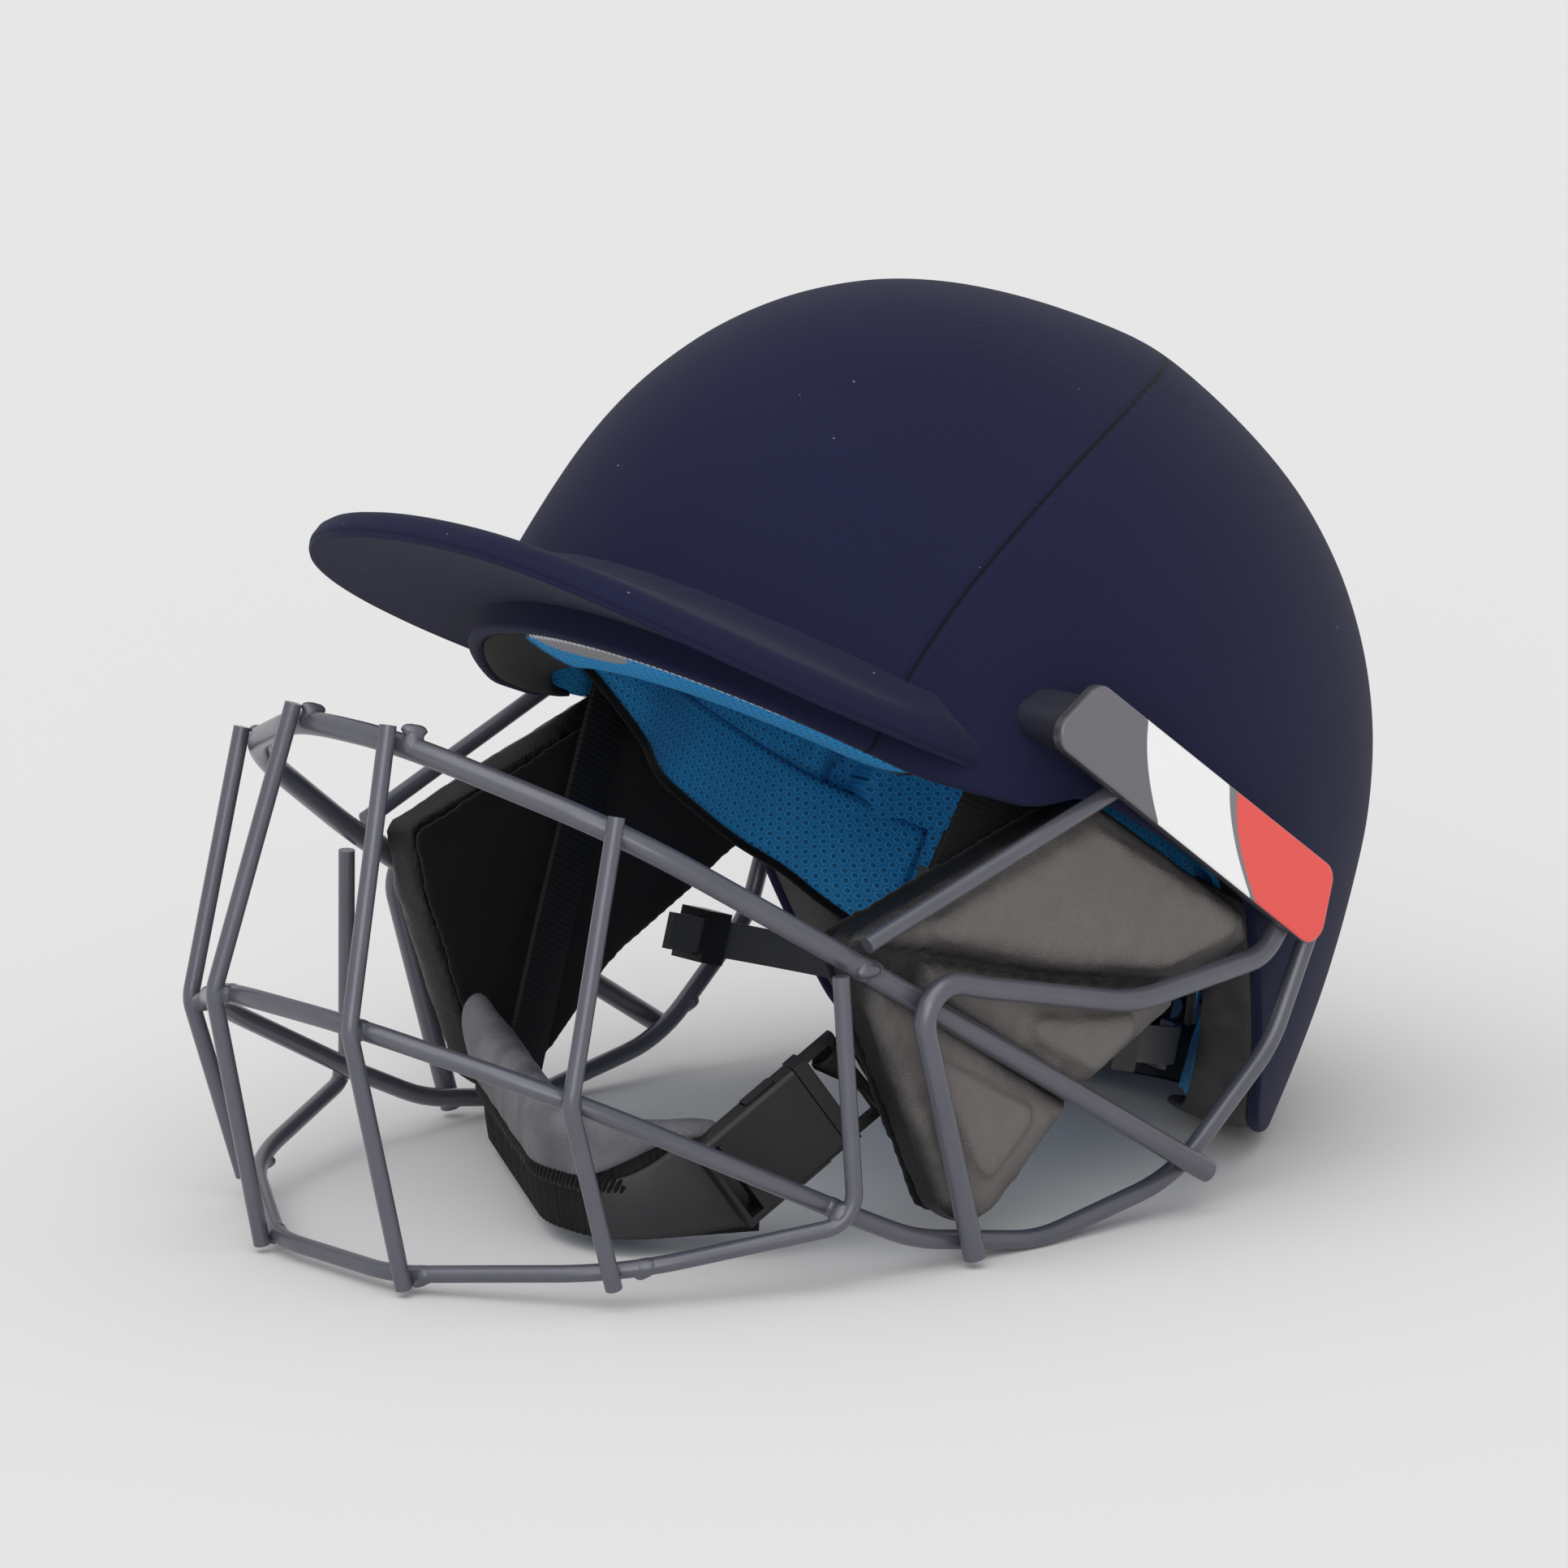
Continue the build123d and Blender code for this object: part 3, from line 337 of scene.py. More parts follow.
def netColours(f, spot, y, z):  # hexagon net with a small ring in each cell
    p = meshLining["pitch"]
    q = p * math.sqrt(3)
    rings = []
    for shift in (0.0, 0.5):
        a = ((y / p + shift).math("FRACT") - 0.5) * p
        b = ((z / q + shift).math("FRACT") - 0.5) * q
        rings.append((a * a + b * b).math("SQRT"))
    near = rings[0].math("MINIMUM", rings[1])
    eyelet = near.between(0.15, 0.3) * (1.0 - near.between(0.42, 0.6))
    border = near.between(1.0, 1.3)
    strands = wave(y * 0.5 + z, meshLining["strand"])
    body = f.mix(f.noise(spot, 0.03, 2.0) * 0.6 + strands * 0.12, meshLining["blue"], meshLining["deep"])
    body = f.mix(border * 0.55, body, meshLining["deep"])
    return f.mix(eyelet * 0.85, body, meshLining["eyelet"]), f.bump(1.0 - eyelet - border * 0.7, 0.0003, 0.7)


def makeMesh():
    f = Finish("blueMesh")
    spot, x, y, z = f.worn()
    body, height = netColours(f, spot, y, z)
    return f.set(baseColor=body, roughness=0.6, normal=height, sheen=0.08, specular=0.35)


def domeDepth(x, y):  # mm under the cover near the rim
    across = x * (1 / share)
    return dome["halfLength"] - 0.2 - (across * across + y * y).math("SQRT")


def makeBrowPad():  # net, with black cloth at the wearer's right end
    f = Finish("browNet")
    spot, x, y, z = f.worn()
    body, height = netColours(f, spot, y, z)
    black = (1.0 - x.between(-26.0, -23.0)) * (z < 8.0)
    return f.set(baseColor=f.mix(black, body, tone(16, 16, 18)), roughness=0.62, normal=height, specular=0.3)


def makeFoam():  # bead foam, faced with the net on its inner side
    f = Finish("facedFoam")
    spot, x, y, z = f.worn()
    body, height = netColours(f, spot, y, z)
    faced = domeDepth(x, y) > foam["facedFrom"]
    bead = f.node("TexVoronoi", {}, {"Vector": spot, "Scale": foam["bead"]}, "Distance")
    bare = f.mix(bead, foam["low"], foam["high"])
    return f.set(baseColor=f.mix(faced, bare, body), roughness=0.7, normal=height)


def makeBrow():  # black binding outside, net inside, with a quilted grey patch and an overlocked edge
    f = Finish("browBinding")
    spot, x, y, z = f.worn()
    net, height = netColours(f, spot, x * 0.9, y)
    depth = domeDepth(x, y)
    front = (1.0 - y.between(-80.0, -76.0)) * x.between(-22.0, -17.0)
    body = f.mix(front * depth.between(5.8, 6.6), brow["binding"], net)
    # painted light and shade: the quilt's diamonds are painted lighter and darker, standing for its relief
    quilt = ((x * 0.7 + y) * brow["quilt"]).math("SINE") * ((x - y * 0.8) * brow["quilt"]).math("SINE")
    across, down = x - brow["patchX"], depth - brow["patchDepth"]
    away = (across * across * 0.2 + down * down).math("SQRT")
    patch = (1.0 - away.between(brow["patchSize"], brow["patchSize"] + 0.5)) * (depth > 5.4)
    body = f.mix(patch, body, f.mix(quilt * 0.3 + 0.5, brow["quiltShade"], brow["quiltHighlight"]))
    stitch = wave(x, brow["stitch"]) > -0.55
    run = x.between(-19.0, -16.0) * (1.0 - x.between(56.0, 62.0))
    edge = depth.between(4.8, 5.1) * (1.0 - depth.between(6.2, 6.8)) * run
    body = f.mix(edge * stitch, body, brow["thread"])
    return f.set(baseColor=body, roughness=0.75, normal=height, specular=0.3)


def scaled(colour, size):
    return tuple(c * size for c in colour[:3]) + (1.0,)


def makeLining(name, colour):
    f = Finish(name)
    spot = f.spot()
    nap = f.noise(spot, 2.5, 2.0)
    body = f.mix(f.noise(spot, 0.08, 3.0), colour, scaled(colour, 1.7))
    return f.set(baseColor=body, roughness=0.9, normal=f.bump(nap, 0.0002, 0.6), sheen=0.08, specular=0.2)


def makeWeb():
    f = Finish("ribbedWebbing")
    along, across = f.attribute("along"), f.attribute("across")
    rib = wave(along, web["rib"])
    warp = wave(across, web["warp"])
    body = f.mix(rib * 0.12 + 0.5, web["base"], web["deep"])
    return f.set(baseColor=body, roughness=0.75, normal=f.bump(rib + warp * 0.3, 0.00012, 0.6), specular=0.3)


def makePlastic(name, colour, rough):
    f = Finish(name)
    spot = f.spot()
    grain = f.noise(spot, 3.0, 2.0)
    body = f.mix(f.noise(spot, 0.06, 3.0), scaled(colour, 0.85), colour)
    return f.set(baseColor=body, roughness=grain * 0.12 + rough, normal=f.bump(grain, 0.0001, 0.4))


def makePlate():  # each edge of colour is a bent line on the plate
    f = Finish("stripedPlate")
    spot, x, y, z = f.worn()
    body = plate["grey"]
    for colour, slope, bend, level in plate["edges"]:
        beyond = (y + z * slope - z * z * bend).between(level, level + plate["blur"])
        body = f.mix(beyond, body, plate[colour])
    face = x.math("ABSOLUTE") > plate["faceFrom"]
    body = f.mix(face, plate["back"], body)
    return f.set(baseColor=body, roughness=f.noise(spot, 2.0, 2.0) * 0.08 + 0.3, coat=0.3, coatRoughness=0.15)


def makeZinc():
    f = Finish("zincSteel")
    return f.set(baseColor=tone(170, 170, 172), metallic=0.9, roughness=f.noise(f.spot(), 1.0) * 0.2 + 0.25)


finishes = {
    "knit": makeKnit(True), "peakKnit": makeKnit(False), "steel": makeSteel(), "blueMesh": makeMesh(),
    "hide": makeHide("padLeather", hide, 1.1, True), "greyHide": makeHide("greyLeather", greyHide, 1.3),
    "napeHide": makeHide("napeLeather", napeHide, 1.3), "brow": makeBrow(), "browNet": makeBrowPad(),
    "facedFoam": makeFoam(), "web": makeWeb(), "plate": makePlate(), "zinc": makeZinc(),
    "lining": makeLining("blackLining", tone(20, 20, 22)), "trim": makeLining("softTrim", tone(15, 15, 17)),
    "black": makePlastic("blackPlastic", tone(28, 28, 30), 0.34),
    "facing": makePlastic("cupFacing", tone(48, 45, 48), 0.42),
    "clamp": makePlastic("clampPlastic", tone(36, 37, 50), 0.5),
    "moulding": makePlastic("shellMoulding", tone(48, 48, 56), 0.45),
    "band": makePlastic("bandPlastic", tone(70, 70, 74), 0.4),
}
print("finishes made")


def sides(name):
    return [f"{name}_left", f"{name}_right"]


crossBars = ["top_bar", "middle_bar", "bottom_bar", "inner_uprights", "outer_uprights"]
guardBars = [f"guard_{bar}" for bar in crossBars + sides("ear_bar") + sides("temple_bar")]
dressed = {
    "steel": guardBars, "moulding": ["outer_shell"], "facedFoam": ["impact_liner"],
    "plate": sides("side_plate"), "clamp": sides("guard_clamp"), "band": sides("nape_band"),
    "black": [
        *sides("band_guide"), "strap_slider", "buckle_socket", "buckle_plug", "buckle_arm_front",
        "buckle_arm_back", "adjuster_dial", "adjuster_pinion", "adjuster_case_back", "adjuster_case_front",
    ],
    "zinc": ["plate_screws", "strap_rivets", "adjuster_rivets"],
}
for finish, names in dressed.items():
    for name in names:
        slots = nodes[name].data.materials
        slots.clear()
        slots.append(finishes[finish])
print("hard nodes dressed")


# helpers for objects and meshes
def linked(name, data):
    made = bpy.data.objects.new(name, data)
    bpy.context.scene.collection.objects.link(made)
    return made


def shadeSmooth(mesh):
    for face in mesh.polygons:
        face.use_smooth = True


def newObject(name, points, faces, finish):
    mesh = bpy.data.meshes.new(name)
    mesh.from_pydata(points, [], faces)
    mesh.materials.append(finish)
    shadeSmooth(mesh)
    mesh.update()
    return linked(name, mesh)


def gridFaces(rows, columns, wrap):
    faces = []
    for row in range(rows - 1):
        here, above = row * columns, (row + 1) * columns
        for column in range(columns if wrap else columns - 1):
            after = (column + 1) % columns
            faces.append((here + column, here + after, above + after, above + column))
    return faces


def tubeFaces(rows, ring):  # rings joined in a row, both ends closed
    ends = [tuple(reversed(range(ring))), tuple(range((rows - 1) * ring, rows * ring))]
    return gridFaces(rows, ring, True) + ends


def tidyMesh(made, gap=0.00005):
    shape = bmesh.new()
    shape.from_mesh(made.data)
    bmesh.ops.remove_doubles(shape, verts=shape.verts, dist=gap)
    bmesh.ops.recalc_face_normals(shape, faces=shape.faces)
    shape.to_mesh(made.data)
    shape.free()
    return made


def applied(made):
    graph = bpy.context.evaluated_depsgraph_get()
    mesh = bpy.data.meshes.new_from_object(made.evaluated_get(graph))
    made.modifiers.clear()
    made.data = mesh
    return made


def remeshed(made, voxel, passes, finish):
    remesh = made.modifiers.new("remesh", "REMESH")
    remesh.mode, remesh.voxel_size, remesh.use_smooth_shade = "VOXEL", voxel / 1000, True
    applied(made)
    smooth = made.modifiers.new("smooth", "SMOOTH")
    smooth.factor, smooth.iterations = 0.5, passes
    applied(made)
    made.data.materials.clear()
    made.data.materials.append(finishes[finish])
    return made


def refine(made):
    made.modifiers.new("finer", "SUBSURF").levels = 1
    shadeSmooth(applied(made).data)
    return made


def cordAlong(name, points, radius, detail):  # a thin round cord of trim
    cord = bpy.data.curves.new(name, "CURVE")
    cord.dimensions, cord.bevel_depth, cord.bevel_resolution = "3D", radius / 1000, detail
    cord.use_fill_caps = True
    line = cord.splines.new("POLY")
    line.points.add(len(points) - 1)
    for point, spot in zip(line.points, points):
        point.co = (*spot, 1)
    cord.materials.append(finishes["trim"])
    return linked(name, cord)


def place(made, body, slot, *replaced):
    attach(made, body)
    if replaced:
        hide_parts(*replaced)
    return made


def ease(value, low, high):  # also falls from 1 to 0 where high is under low
    t = min(1.0, max(0.0, (value - low) / (high - low)))
    return t * t * (3 - 2 * t)


def headings(path):  # from the point before to the point after, for each point
    return [after - before for before, after in zip([path[0]] + path, path[1:] + [path[-1]])]


def smoothPath(points, step=2.0):  # a curve through the points, by Catmull and Rom
    points = [Vector(p) for p in points]
    padded = [2 * points[0] - points[1]] + points + [2 * points[-1] - points[-2]]
    path = []
    for a, b, c, d in zip(padded, padded[1:], padded[2:], padded[3:]):
        count = max(2, int((c - b).length / step))
        for i in range(count):
            t = i / count
            square, cube = 2 * a - 5 * b + 4 * c - d, 3 * b - a - 3 * c + d
            path.append(0.5 * (2 * b + (c - a) * t + square * t * t + cube * t ** 3))
    return path + [points[-1]]


# camera, floor and light
view = {
    "place": (1.5074, -1.3644, 0.5363), "lens": 182.6, "sensor": 36,
    "axes": ((0.66913, 0.74314, 0), (-0.15486, 0.13944, 0.97805), (0.72683, -0.65444, 0.20839)),
}
room = {
    "pale": tone(229, 229, 229), "floorHalf": 40, "sky": 0.62,
    "sun": (1.25, 70, (0.25, -0.55, 1.0)), "fill": (0.95, 45, (0.74, -0.66, 0.14)),
}


def makeCamera():
    camera = linked("camera", bpy.data.cameras.new("camera"))
    camera.matrix_world = Matrix.Translation(view["place"]) @ Matrix(view["axes"]).transposed().to_4x4()
    camera.data.lens = view["lens"]
    camera.data.sensor_width = view["sensor"]
    bpy.context.scene.camera = camera
    bpy.context.scene.view_settings.view_transform = "Standard"


def makeRoom():
    pale = Finish("paleFloor").set(baseColor=room["pale"], roughness=0.9, specular=0.0)
    half = room["floorHalf"]
    corners = [(-half, -half, 0), (half, -half, 0), (half, half, 0), (-half, half, 0)]
    newObject("floor", corners, [(0, 1, 2, 3)], pale)
    world = bpy.data.worlds.new("softRoom")
    bpy.context.scene.world = world
    world.use_nodes = True
    sky = world.node_tree.nodes["Background"]
    sky.inputs["Color"].default_value = (1, 1, 1, 1)
    sky.inputs["Strength"].default_value = room["sky"]


def addSun(name, strength, width, direction):
    lamp = linked(name, bpy.data.lights.new(name, "SUN"))
    lamp.data.energy = strength
    lamp.data.angle = math.radians(width)
    lamp.rotation_euler = Vector(direction).to_track_quat("Z", "Y").to_euler()


makeCamera()
makeRoom()
addSun("mainLamp", *room["sun"])
addSun("fillLamp", *room["fill"])
print("camera and light set")


# knitted cover, drawn over the shell
cover = {
    "turns": 320, "rows": 92, "ridge": 0.35, "ridgeWidth": 6.0, "waviness": 0.12, "waveSize": 0.05,
    "floorGap": 0.1, "crownGap": 0.6, "search": (60.0, 330.0), "halvings": 40,
    "crownRidge": 2.4, "crownWidth": 15.0, "crownFrom": 88.0, "crownTo": 118.0,
    "hem": ((0.05, -0.6), (0.5, -1.1), (1.5, -1.5), (2.8, -1.5), (4.0, -1.1), (4.6, -0.2)),
}
seamMiddle = circleThrough(*seam["points"])


def seamDistance(p):
    return math.hypot(p[1] - seamMiddle[0], p[2] - seamMiddle[1]) - seamMiddle[2]


def rimRun(turn):  # mm from the crown down to the rim
    low, high = cover["search"]
    for _ in range(cover["halvings"]):
        middle = (low + high) / 2
        p = domeAt(turn, middle)
        if p[2] > rimLevel(p[1]):
            low = middle
        else:
            high = middle
    return low


def makeCover():
    points, rows = [], cover["rows"]
    turns = [2 * math.pi * step / cover["turns"] for step in range(cover["turns"])]
    ends = [rimRun(turn) for turn in turns]
    for row in range(rows):
        for turn, end in zip(turns, ends):
            run = end * (row + cover["crownGap"]) / (rows - 1 + cover["crownGap"])
            flat = domeAt(turn, run)
            away = seamDistance(flat)
            high = ease(flat[2], cover["crownFrom"], cover["crownTo"])
            lift = cover["ridge"] * math.exp(-((away / cover["ridgeWidth"]) ** 2))
            lift += cover["crownRidge"] * math.exp(-((away / cover["crownWidth"]) ** 2)) * high
            lift += cover["waviness"] * noise.noise(flat * cover["waveSize"])
            points.append(domeAt(turn, run, -lift))
    for depth, lift in cover["hem"]:
        points += [rimAt(turn, depth, lift) for turn in turns]
    faces = gridFaces(rows + len(cover["hem"]), len(turns), True)
    faces.append(tuple(reversed(range(len(turns)))))
    places = [toRow(p) for p in points]
    for p in places:
        p[2] = max(p[2], cover["floorGap"] / 1000)  # it lies on the floor at the nape
    made = tidyMesh(newObject("knittedCover", places, faces, finishes["knit"]))
    return place(made, "helmet", "cover_knit", "cover_front_panel", "cover_brow_strip", "cover_rear_panel")


makeCover()
print("cover made")


# peak, a padded sheet with a rolled edge and a seam under it
peak = {
    "halfWidth": 90.0, "rootY": -68.0, "length": 120.0, "fullness": 2.86, "sideZ": -25.0,
    "arch": 11.0, "slope": 0.14, "thickness": 7.8, "overrun": 30.0, "roll": 4.6, "crown": 0.7,
    "underRoll": 1.5, "fillet": 5.5, "filletRun": 15.0, "dip": 0.8, "dipRun": 5.0, "sink": 1.4,
    "turns": 150, "rows": 16, "crowd": 1.6, "cornerTurn": 0.03, "probe": 0.4, "probeEnd": 130.0,
    "aimShare": 0.6, "aimBack": 8.0, "crownRun": (2.0, 40.0), "filletRoom": (1.0, 12.0),
    "dipRoom": (2.0, 14.0),
    "edge": ((0.0, 2.7), (0.12, 2.1), (0.5, 1.75), (0.75, 1.5), (0.55, 1.25), (0.45, 1.0)),  # (inset, height)
}


def peakLevel(x, y):
    half = (peak["halfWidth"] + peak["overrun"]) / share
    drop = peak["arch"] * (1 + peak["overrun"] / peak["halfWidth"]) ** 2
    radius = (half * half + drop * drop) / (2 * drop)
    crest = peak["sideZ"] + peak["arch"] + peak["slope"] * peak["overrun"]
    arch = radius - math.sqrt(radius * radius - (x / share) ** 2)
    return crest - arch + peak["slope"] * (y - peak["rootY"] - peak["overrun"])


def peakEdge(angle):
    c, s = math.cos(angle), math.sin(angle)
    x = peak["halfWidth"] * math.copysign(abs(c) ** (2 / peak["fullness"]), c)
    return Vector((x, peak["rootY"] - peak["length"] * abs(s) ** (2 / peak["fullness"])))


def rolled(inset, roll):  # how far a rolled edge has fallen at an inset
    return roll - math.sqrt(max(0.0, roll * roll - max(0.0, roll - inset) ** 2))


def overHeight(inset):
    return peak["thickness"] - rolled(inset, peak["roll"]) + peak["crown"] * ease(inset, *peak["crownRun"])


def underHeight(inset):
    return rolled(inset, peak["underRoll"]) - 0.5 * peak["crown"] * ease(inset, *peak["crownRun"])


def peakRow(edge, height):  # where a row from the edge meets the dome
    inward = (Vector((edge[0] * peak["aimShare"], peak["rootY"] + peak["aimBack"])) - edge).normalized()
    run = 0.0
    while run < peak["probeEnd"]:
        spot = edge + inward * run
        if inDome((spot[0], spot[1], peakLevel(spot[0], spot[1]) + height(run))):
            break
        run += peak["probe"]
    return inward, run


def makePeak():
    points = []
    for step in range(peak["turns"] + 1):
        along = step / peak["turns"]
        angle = math.pi * (along - peak["cornerTurn"] * math.sin(4 * math.pi * along))
        edge = peakEdge(angle)
        column = []
        inward, meets = peakRow(edge, overHeight)
        for row in range(peak["rows"]):  # from inside the dome out to the edge
            t = 1 - row / (peak["rows"] - 1)
            run = (meets + peak["sink"]) * t ** peak["crowd"]
            rise = peak["fillet"] * max(0.0, 1 - max(0.0, meets - run) / peak["filletRun"]) ** 2
            column.append((edge + inward * run, overHeight(run) + rise * ease(meets, *peak["filletRoom"])))
        for inset, height in peak["edge"]:
            column.append((edge + inward * min(inset, meets + peak["sink"]), height))
        inward, meets = peakRow(edge, underHeight)
        for row in range(1, peak["rows"]):
            run = peak["edge"][-1][0] + (meets + peak["sink"]) * (row / (peak["rows"] - 1)) ** peak["crowd"]
            dip = peak["dip"] * max(0.0, 1 - max(0.0, meets - run) / peak["dipRun"]) ** 2
            column.append((edge + inward * run, underHeight(run) - dip * ease(meets, *peak["dipRoom"])))
        points += [toRow((*spot, peakLevel(*spot) + height)) for spot, height in column]
    faces = gridFaces(peak["turns"] + 1, len(column), False)
    made = newObject("paddedPeak", points, faces, finishes["peakKnit"])
    tidyMesh(made)
    return place(made, "helmet", "cover_knit", "peak_top_pad", "peak_under_pad")


makePeak()
print("peak made")


# soft rolls over the lower edges of the liners
trims = {
    "outer": 4.7, "inner": 26.3, "top": 1.4, "points": 14, "fullness": 0.7, "endRun": 2.5,
    "browHang": 1.6, "napeHang": 1.8,
    "browEnd": (-72.0, -31.0), "napeStart": (31.5, -14.0), "notchHalf": 32.5, "notchZ": -50.0, "depth": 15.0,
}


def trimLoop(hang):  # round the roll, as (depth, lift)
    middle, half = (trims["outer"] + trims["inner"]) / 2, (trims["inner"] - trims["outer"]) / 2
    loop = []
    for spot in range(trims["points"]):
        angle = math.pi * spot / (trims["points"] - 1)
        loop.append((middle - half * math.cos(angle), -hang * max(0.0, math.sin(angle)) ** trims["fullness"]))
    inner, outer, top = trims["inner"], trims["outer"], trims["top"]
    return loop + [(inner - 0.3, top * 0.6), (inner - 1.2, top), (outer + 1.2, top), (outer + 0.3, top * 0.6)]


def makeTrim(name, turnFrom, turnTo, hang, finish, slot, node, steps=90):
    points = []
    for step in range(steps + 1):
        turn = turnFrom + (turnTo - turnFrom) * step / steps
        full = min(1.0, math.sqrt(min(step, steps - step) / trims["endRun"]))
        loop = trimLoop(hang * full)
        points += [toRow(rimAt(turn, depth, lift)) for depth, lift in loop]
    made = newObject(name, points, tubeFaces(steps + 1, len(loop)), finishes[finish])
    tidyMesh(made)
    return place(made, "helmet", slot, node)


def turnAt(y, z):
    return math.asin(max(-1.0, min(1.0, y / domeRadius(z, trims["depth"]))))


browTurn, napeTurn = turnAt(*trims["browEnd"]), turnAt(*trims["napeStart"])
notchTurn = math.acos(trims["notchHalf"] / share / domeRadius(trims["notchZ"], trims["depth"]))
makeTrim("browRoll", browTurn, -math.pi - browTurn, trims["browHang"], "brow", "black_trim", "brow_trim", 130)
for name, start, end in (("Left", napeTurn, notchTurn), ("Right", math.pi - napeTurn, math.pi - notchTurn)):
    node = "nape_trim_" + name.lower()
    makeTrim("napeRoll" + name, start, end, trims["napeHang"], "napeHide", "grey_leather", node)
print("rolls made")


# cushions: a copy of the CAD solid, remeshed, blown up as cloth and capped
def softCopy(node, finish, voxel, shrink):
    made = linked(node.replace("_", "-") + "-soft", nodes[node].data.copy())
    remeshed(made, voxel, 3, finish)
    made.data.update()
    normals = [v.normal.copy() for v in made.data.vertices]
    for vertex, normal in zip(made.data.vertices, normals):
        vertex.co -= normal * shrink / 1000
    return made


clothing = {
    "quality": 4, "mass": 0.3, "tension_stiffness": 18, "compression_stiffness": 18, "shear_stiffness": 8,
    "bending_stiffness": 0.4, "use_pressure": True,
}


def inflate(made, pressure, cap, frames=20):
    start = [v.co.copy() for v in made.data.vertices]
    cloth = made.modifiers.new("cloth", "CLOTH")
    for key, value in clothing.items():
        setattr(cloth.settings, key, value)
    cloth.settings.uniform_pressure_force = pressure
    cloth.settings.effector_weights.gravity = 0
    cloth.collision_settings.use_collision = False
    cloth.point_cache.frame_start, cloth.point_cache.frame_end = 1, frames
    for frame in range(1, frames + 1):
        bpy.context.scene.frame_set(frame)
    applied(made)
    bpy.context.scene.frame_set(1)
    for vertex, before in zip(made.data.vertices, start):
        moved = vertex.co - before
        if moved.length > cap / 1000:
            vertex.co = before + moved.normalized() * cap / 1000
    return made


def keepUnder(made, depth):  # a pad stays inside the liner it lies on
    for vertex in made.data.vertices:
        p = toWorn(vertex.co)
        reach = math.hypot(p[0] / share, p[1])
        limit = domeRadius(p[2], depth)
        if reach > limit:
            vertex.co = toRow((p[0] * limit / reach, p[1] * limit / reach, p[2]))
    made.data.update()


pads = {"voxel": 3.0, "shrink": 0.5, "pressure": 5.0, "cap": 3.2, "depth": 19.7}
for node in ("brow_pad", "rear_pad", "crown_pad", "side_pad_left", "side_pad_right"):
    pad = softCopy(node, "browNet" if node == "brow_pad" else "blueMesh", pads["voxel"], pads["shrink"])
    keepUnder(refine(inflate(pad, pads["pressure"], pads["cap"])), pads["depth"])
    place(pad, "helmet", "pad_lining", node)
    print("cushion", node, len(pad.data.polygons))


# ear pads, their leather raised in three puffs with grooves between them
earPads = {
    "voxel": 1.5, "liningVoxel": 1.6, "shrink": 0.25, "pressure": 2.0, "cap": 0.6, "liningCap": 0.5,
    "frames": 12, "planeX": 99.6, "planeSlope": 0.0801, "edgeDepth": 3.4, "wrinkle": 0.16, "wrinkleRun": 12.0,
    "rise": 2.2, "round": 3.4, "sink": 1.3, "groove": (-0.3, 1.2), "shine": (0.5, 9.0),
    "puffs": (  # outlines from the side, as (y, z)
        (
            (-85, -78.5), (-33, -16.5), (28.5, -20), (33, -27), (16, -44.6), (-4, -52.4), (-27, -60.9),
            (-58, -69.9),
        ),
        (
            (-62, -75.5), (-58, -72.6), (-27, -63.6), (-4, -55.1), (15, -47.2), (19, -51), (2.5, -79),
            (-2, -84.6), (-60, -81.6),
        ),
        ((-76, -85), (-60, -84.2), (-0.5, -87.2), (-9.5, -119.5), (-14, -126), (-24, -126), (-73, -92)),
    ),
}


def insideBy(y, z, outline):  # distance inside an outline, less than 0 outside
    nearest, inside = 1e9, False
    for (y0, z0), (y1, z1) in zip(outline, outline[1:] + outline[:1]):
        span = (y1 - y0) ** 2 + (z1 - z0) ** 2
        t = max(0.0, min(1.0, ((y - y0) * (y1 - y0) + (z - z0) * (z1 - z0)) / span))
        nearest = min(nearest, math.hypot(y - y0 - t * (y1 - y0), z - z0 - t * (z1 - z0)))
        if (z0 > z) != (z1 > z) and y < (y1 - y0) * (z - z0) / (z1 - z0) + y0:
            inside = not inside
    return nearest if inside else -nearest


def puffUp(pad, side):
    mesh = pad.data
    puffHighlight = mesh.attributes.new("puff", "FLOAT", "POINT").data
    grooveShade = mesh.attributes.new("groove", "FLOAT", "POINT").data
    for index, vertex in enumerate(mesh.vertices):
        p = toWorn(vertex.co)
        depth = earPads["planeX"] + earPads["planeSlope"] * p[1] - side * p[0]
        outer = 1 - ease(depth, 1.0, earPads["edgeDepth"])
        room = max(insideBy(p[1], p[2], outline) for outline in earPads["puffs"])
        puff = math.sqrt(ease(room, 0.0, earPads["round"]))
        groove = 1 - ease(room, *earPads["groove"])
        crumple = earPads["wrinkle"] * (1 + 3 * ease(room, earPads["wrinkleRun"], 0.0))
        fold = (noise.noise(p * 0.16) + 0.7 * noise.noise(p * 0.45)) * crumple
        lift = earPads["rise"] * puff - earPads["sink"] * groove * outer
        vertex.co += tiltTurn @ Vector((side, 0, 0)) * (lift * outer + fold) / 1000
        # painted highlight, strongest on the raised middle of each puff
        puffHighlight[index].value = ease(room, *earPads["shine"]) * outer
        # painted shade in the grooves and on the pad's sides away from its face
        grooveShade[index].value = max(groove * 0.85, 1 - outer)


for side, sign in (("left", 1), ("right", -1)):
    lining = softCopy(f"ear_lining_{side}", "lining", earPads["liningVoxel"], earPads["shrink"])
    pad = softCopy(f"ear_pad_{side}", "hide", earPads["voxel"], earPads["shrink"])
    inflate(lining, earPads["pressure"], earPads["liningCap"], earPads["frames"])
    inflate(pad, earPads["pressure"], earPads["cap"], earPads["frames"])
    puffUp(pad, sign)
    for piece, kind in ((lining, "lining"), (pad, "pad")):
        refine(piece)
        place(piece, "helmet", "pad_leather" if kind == "pad" else "pad_lining", f"ear_{kind}_{side}")
print("ear pads made")


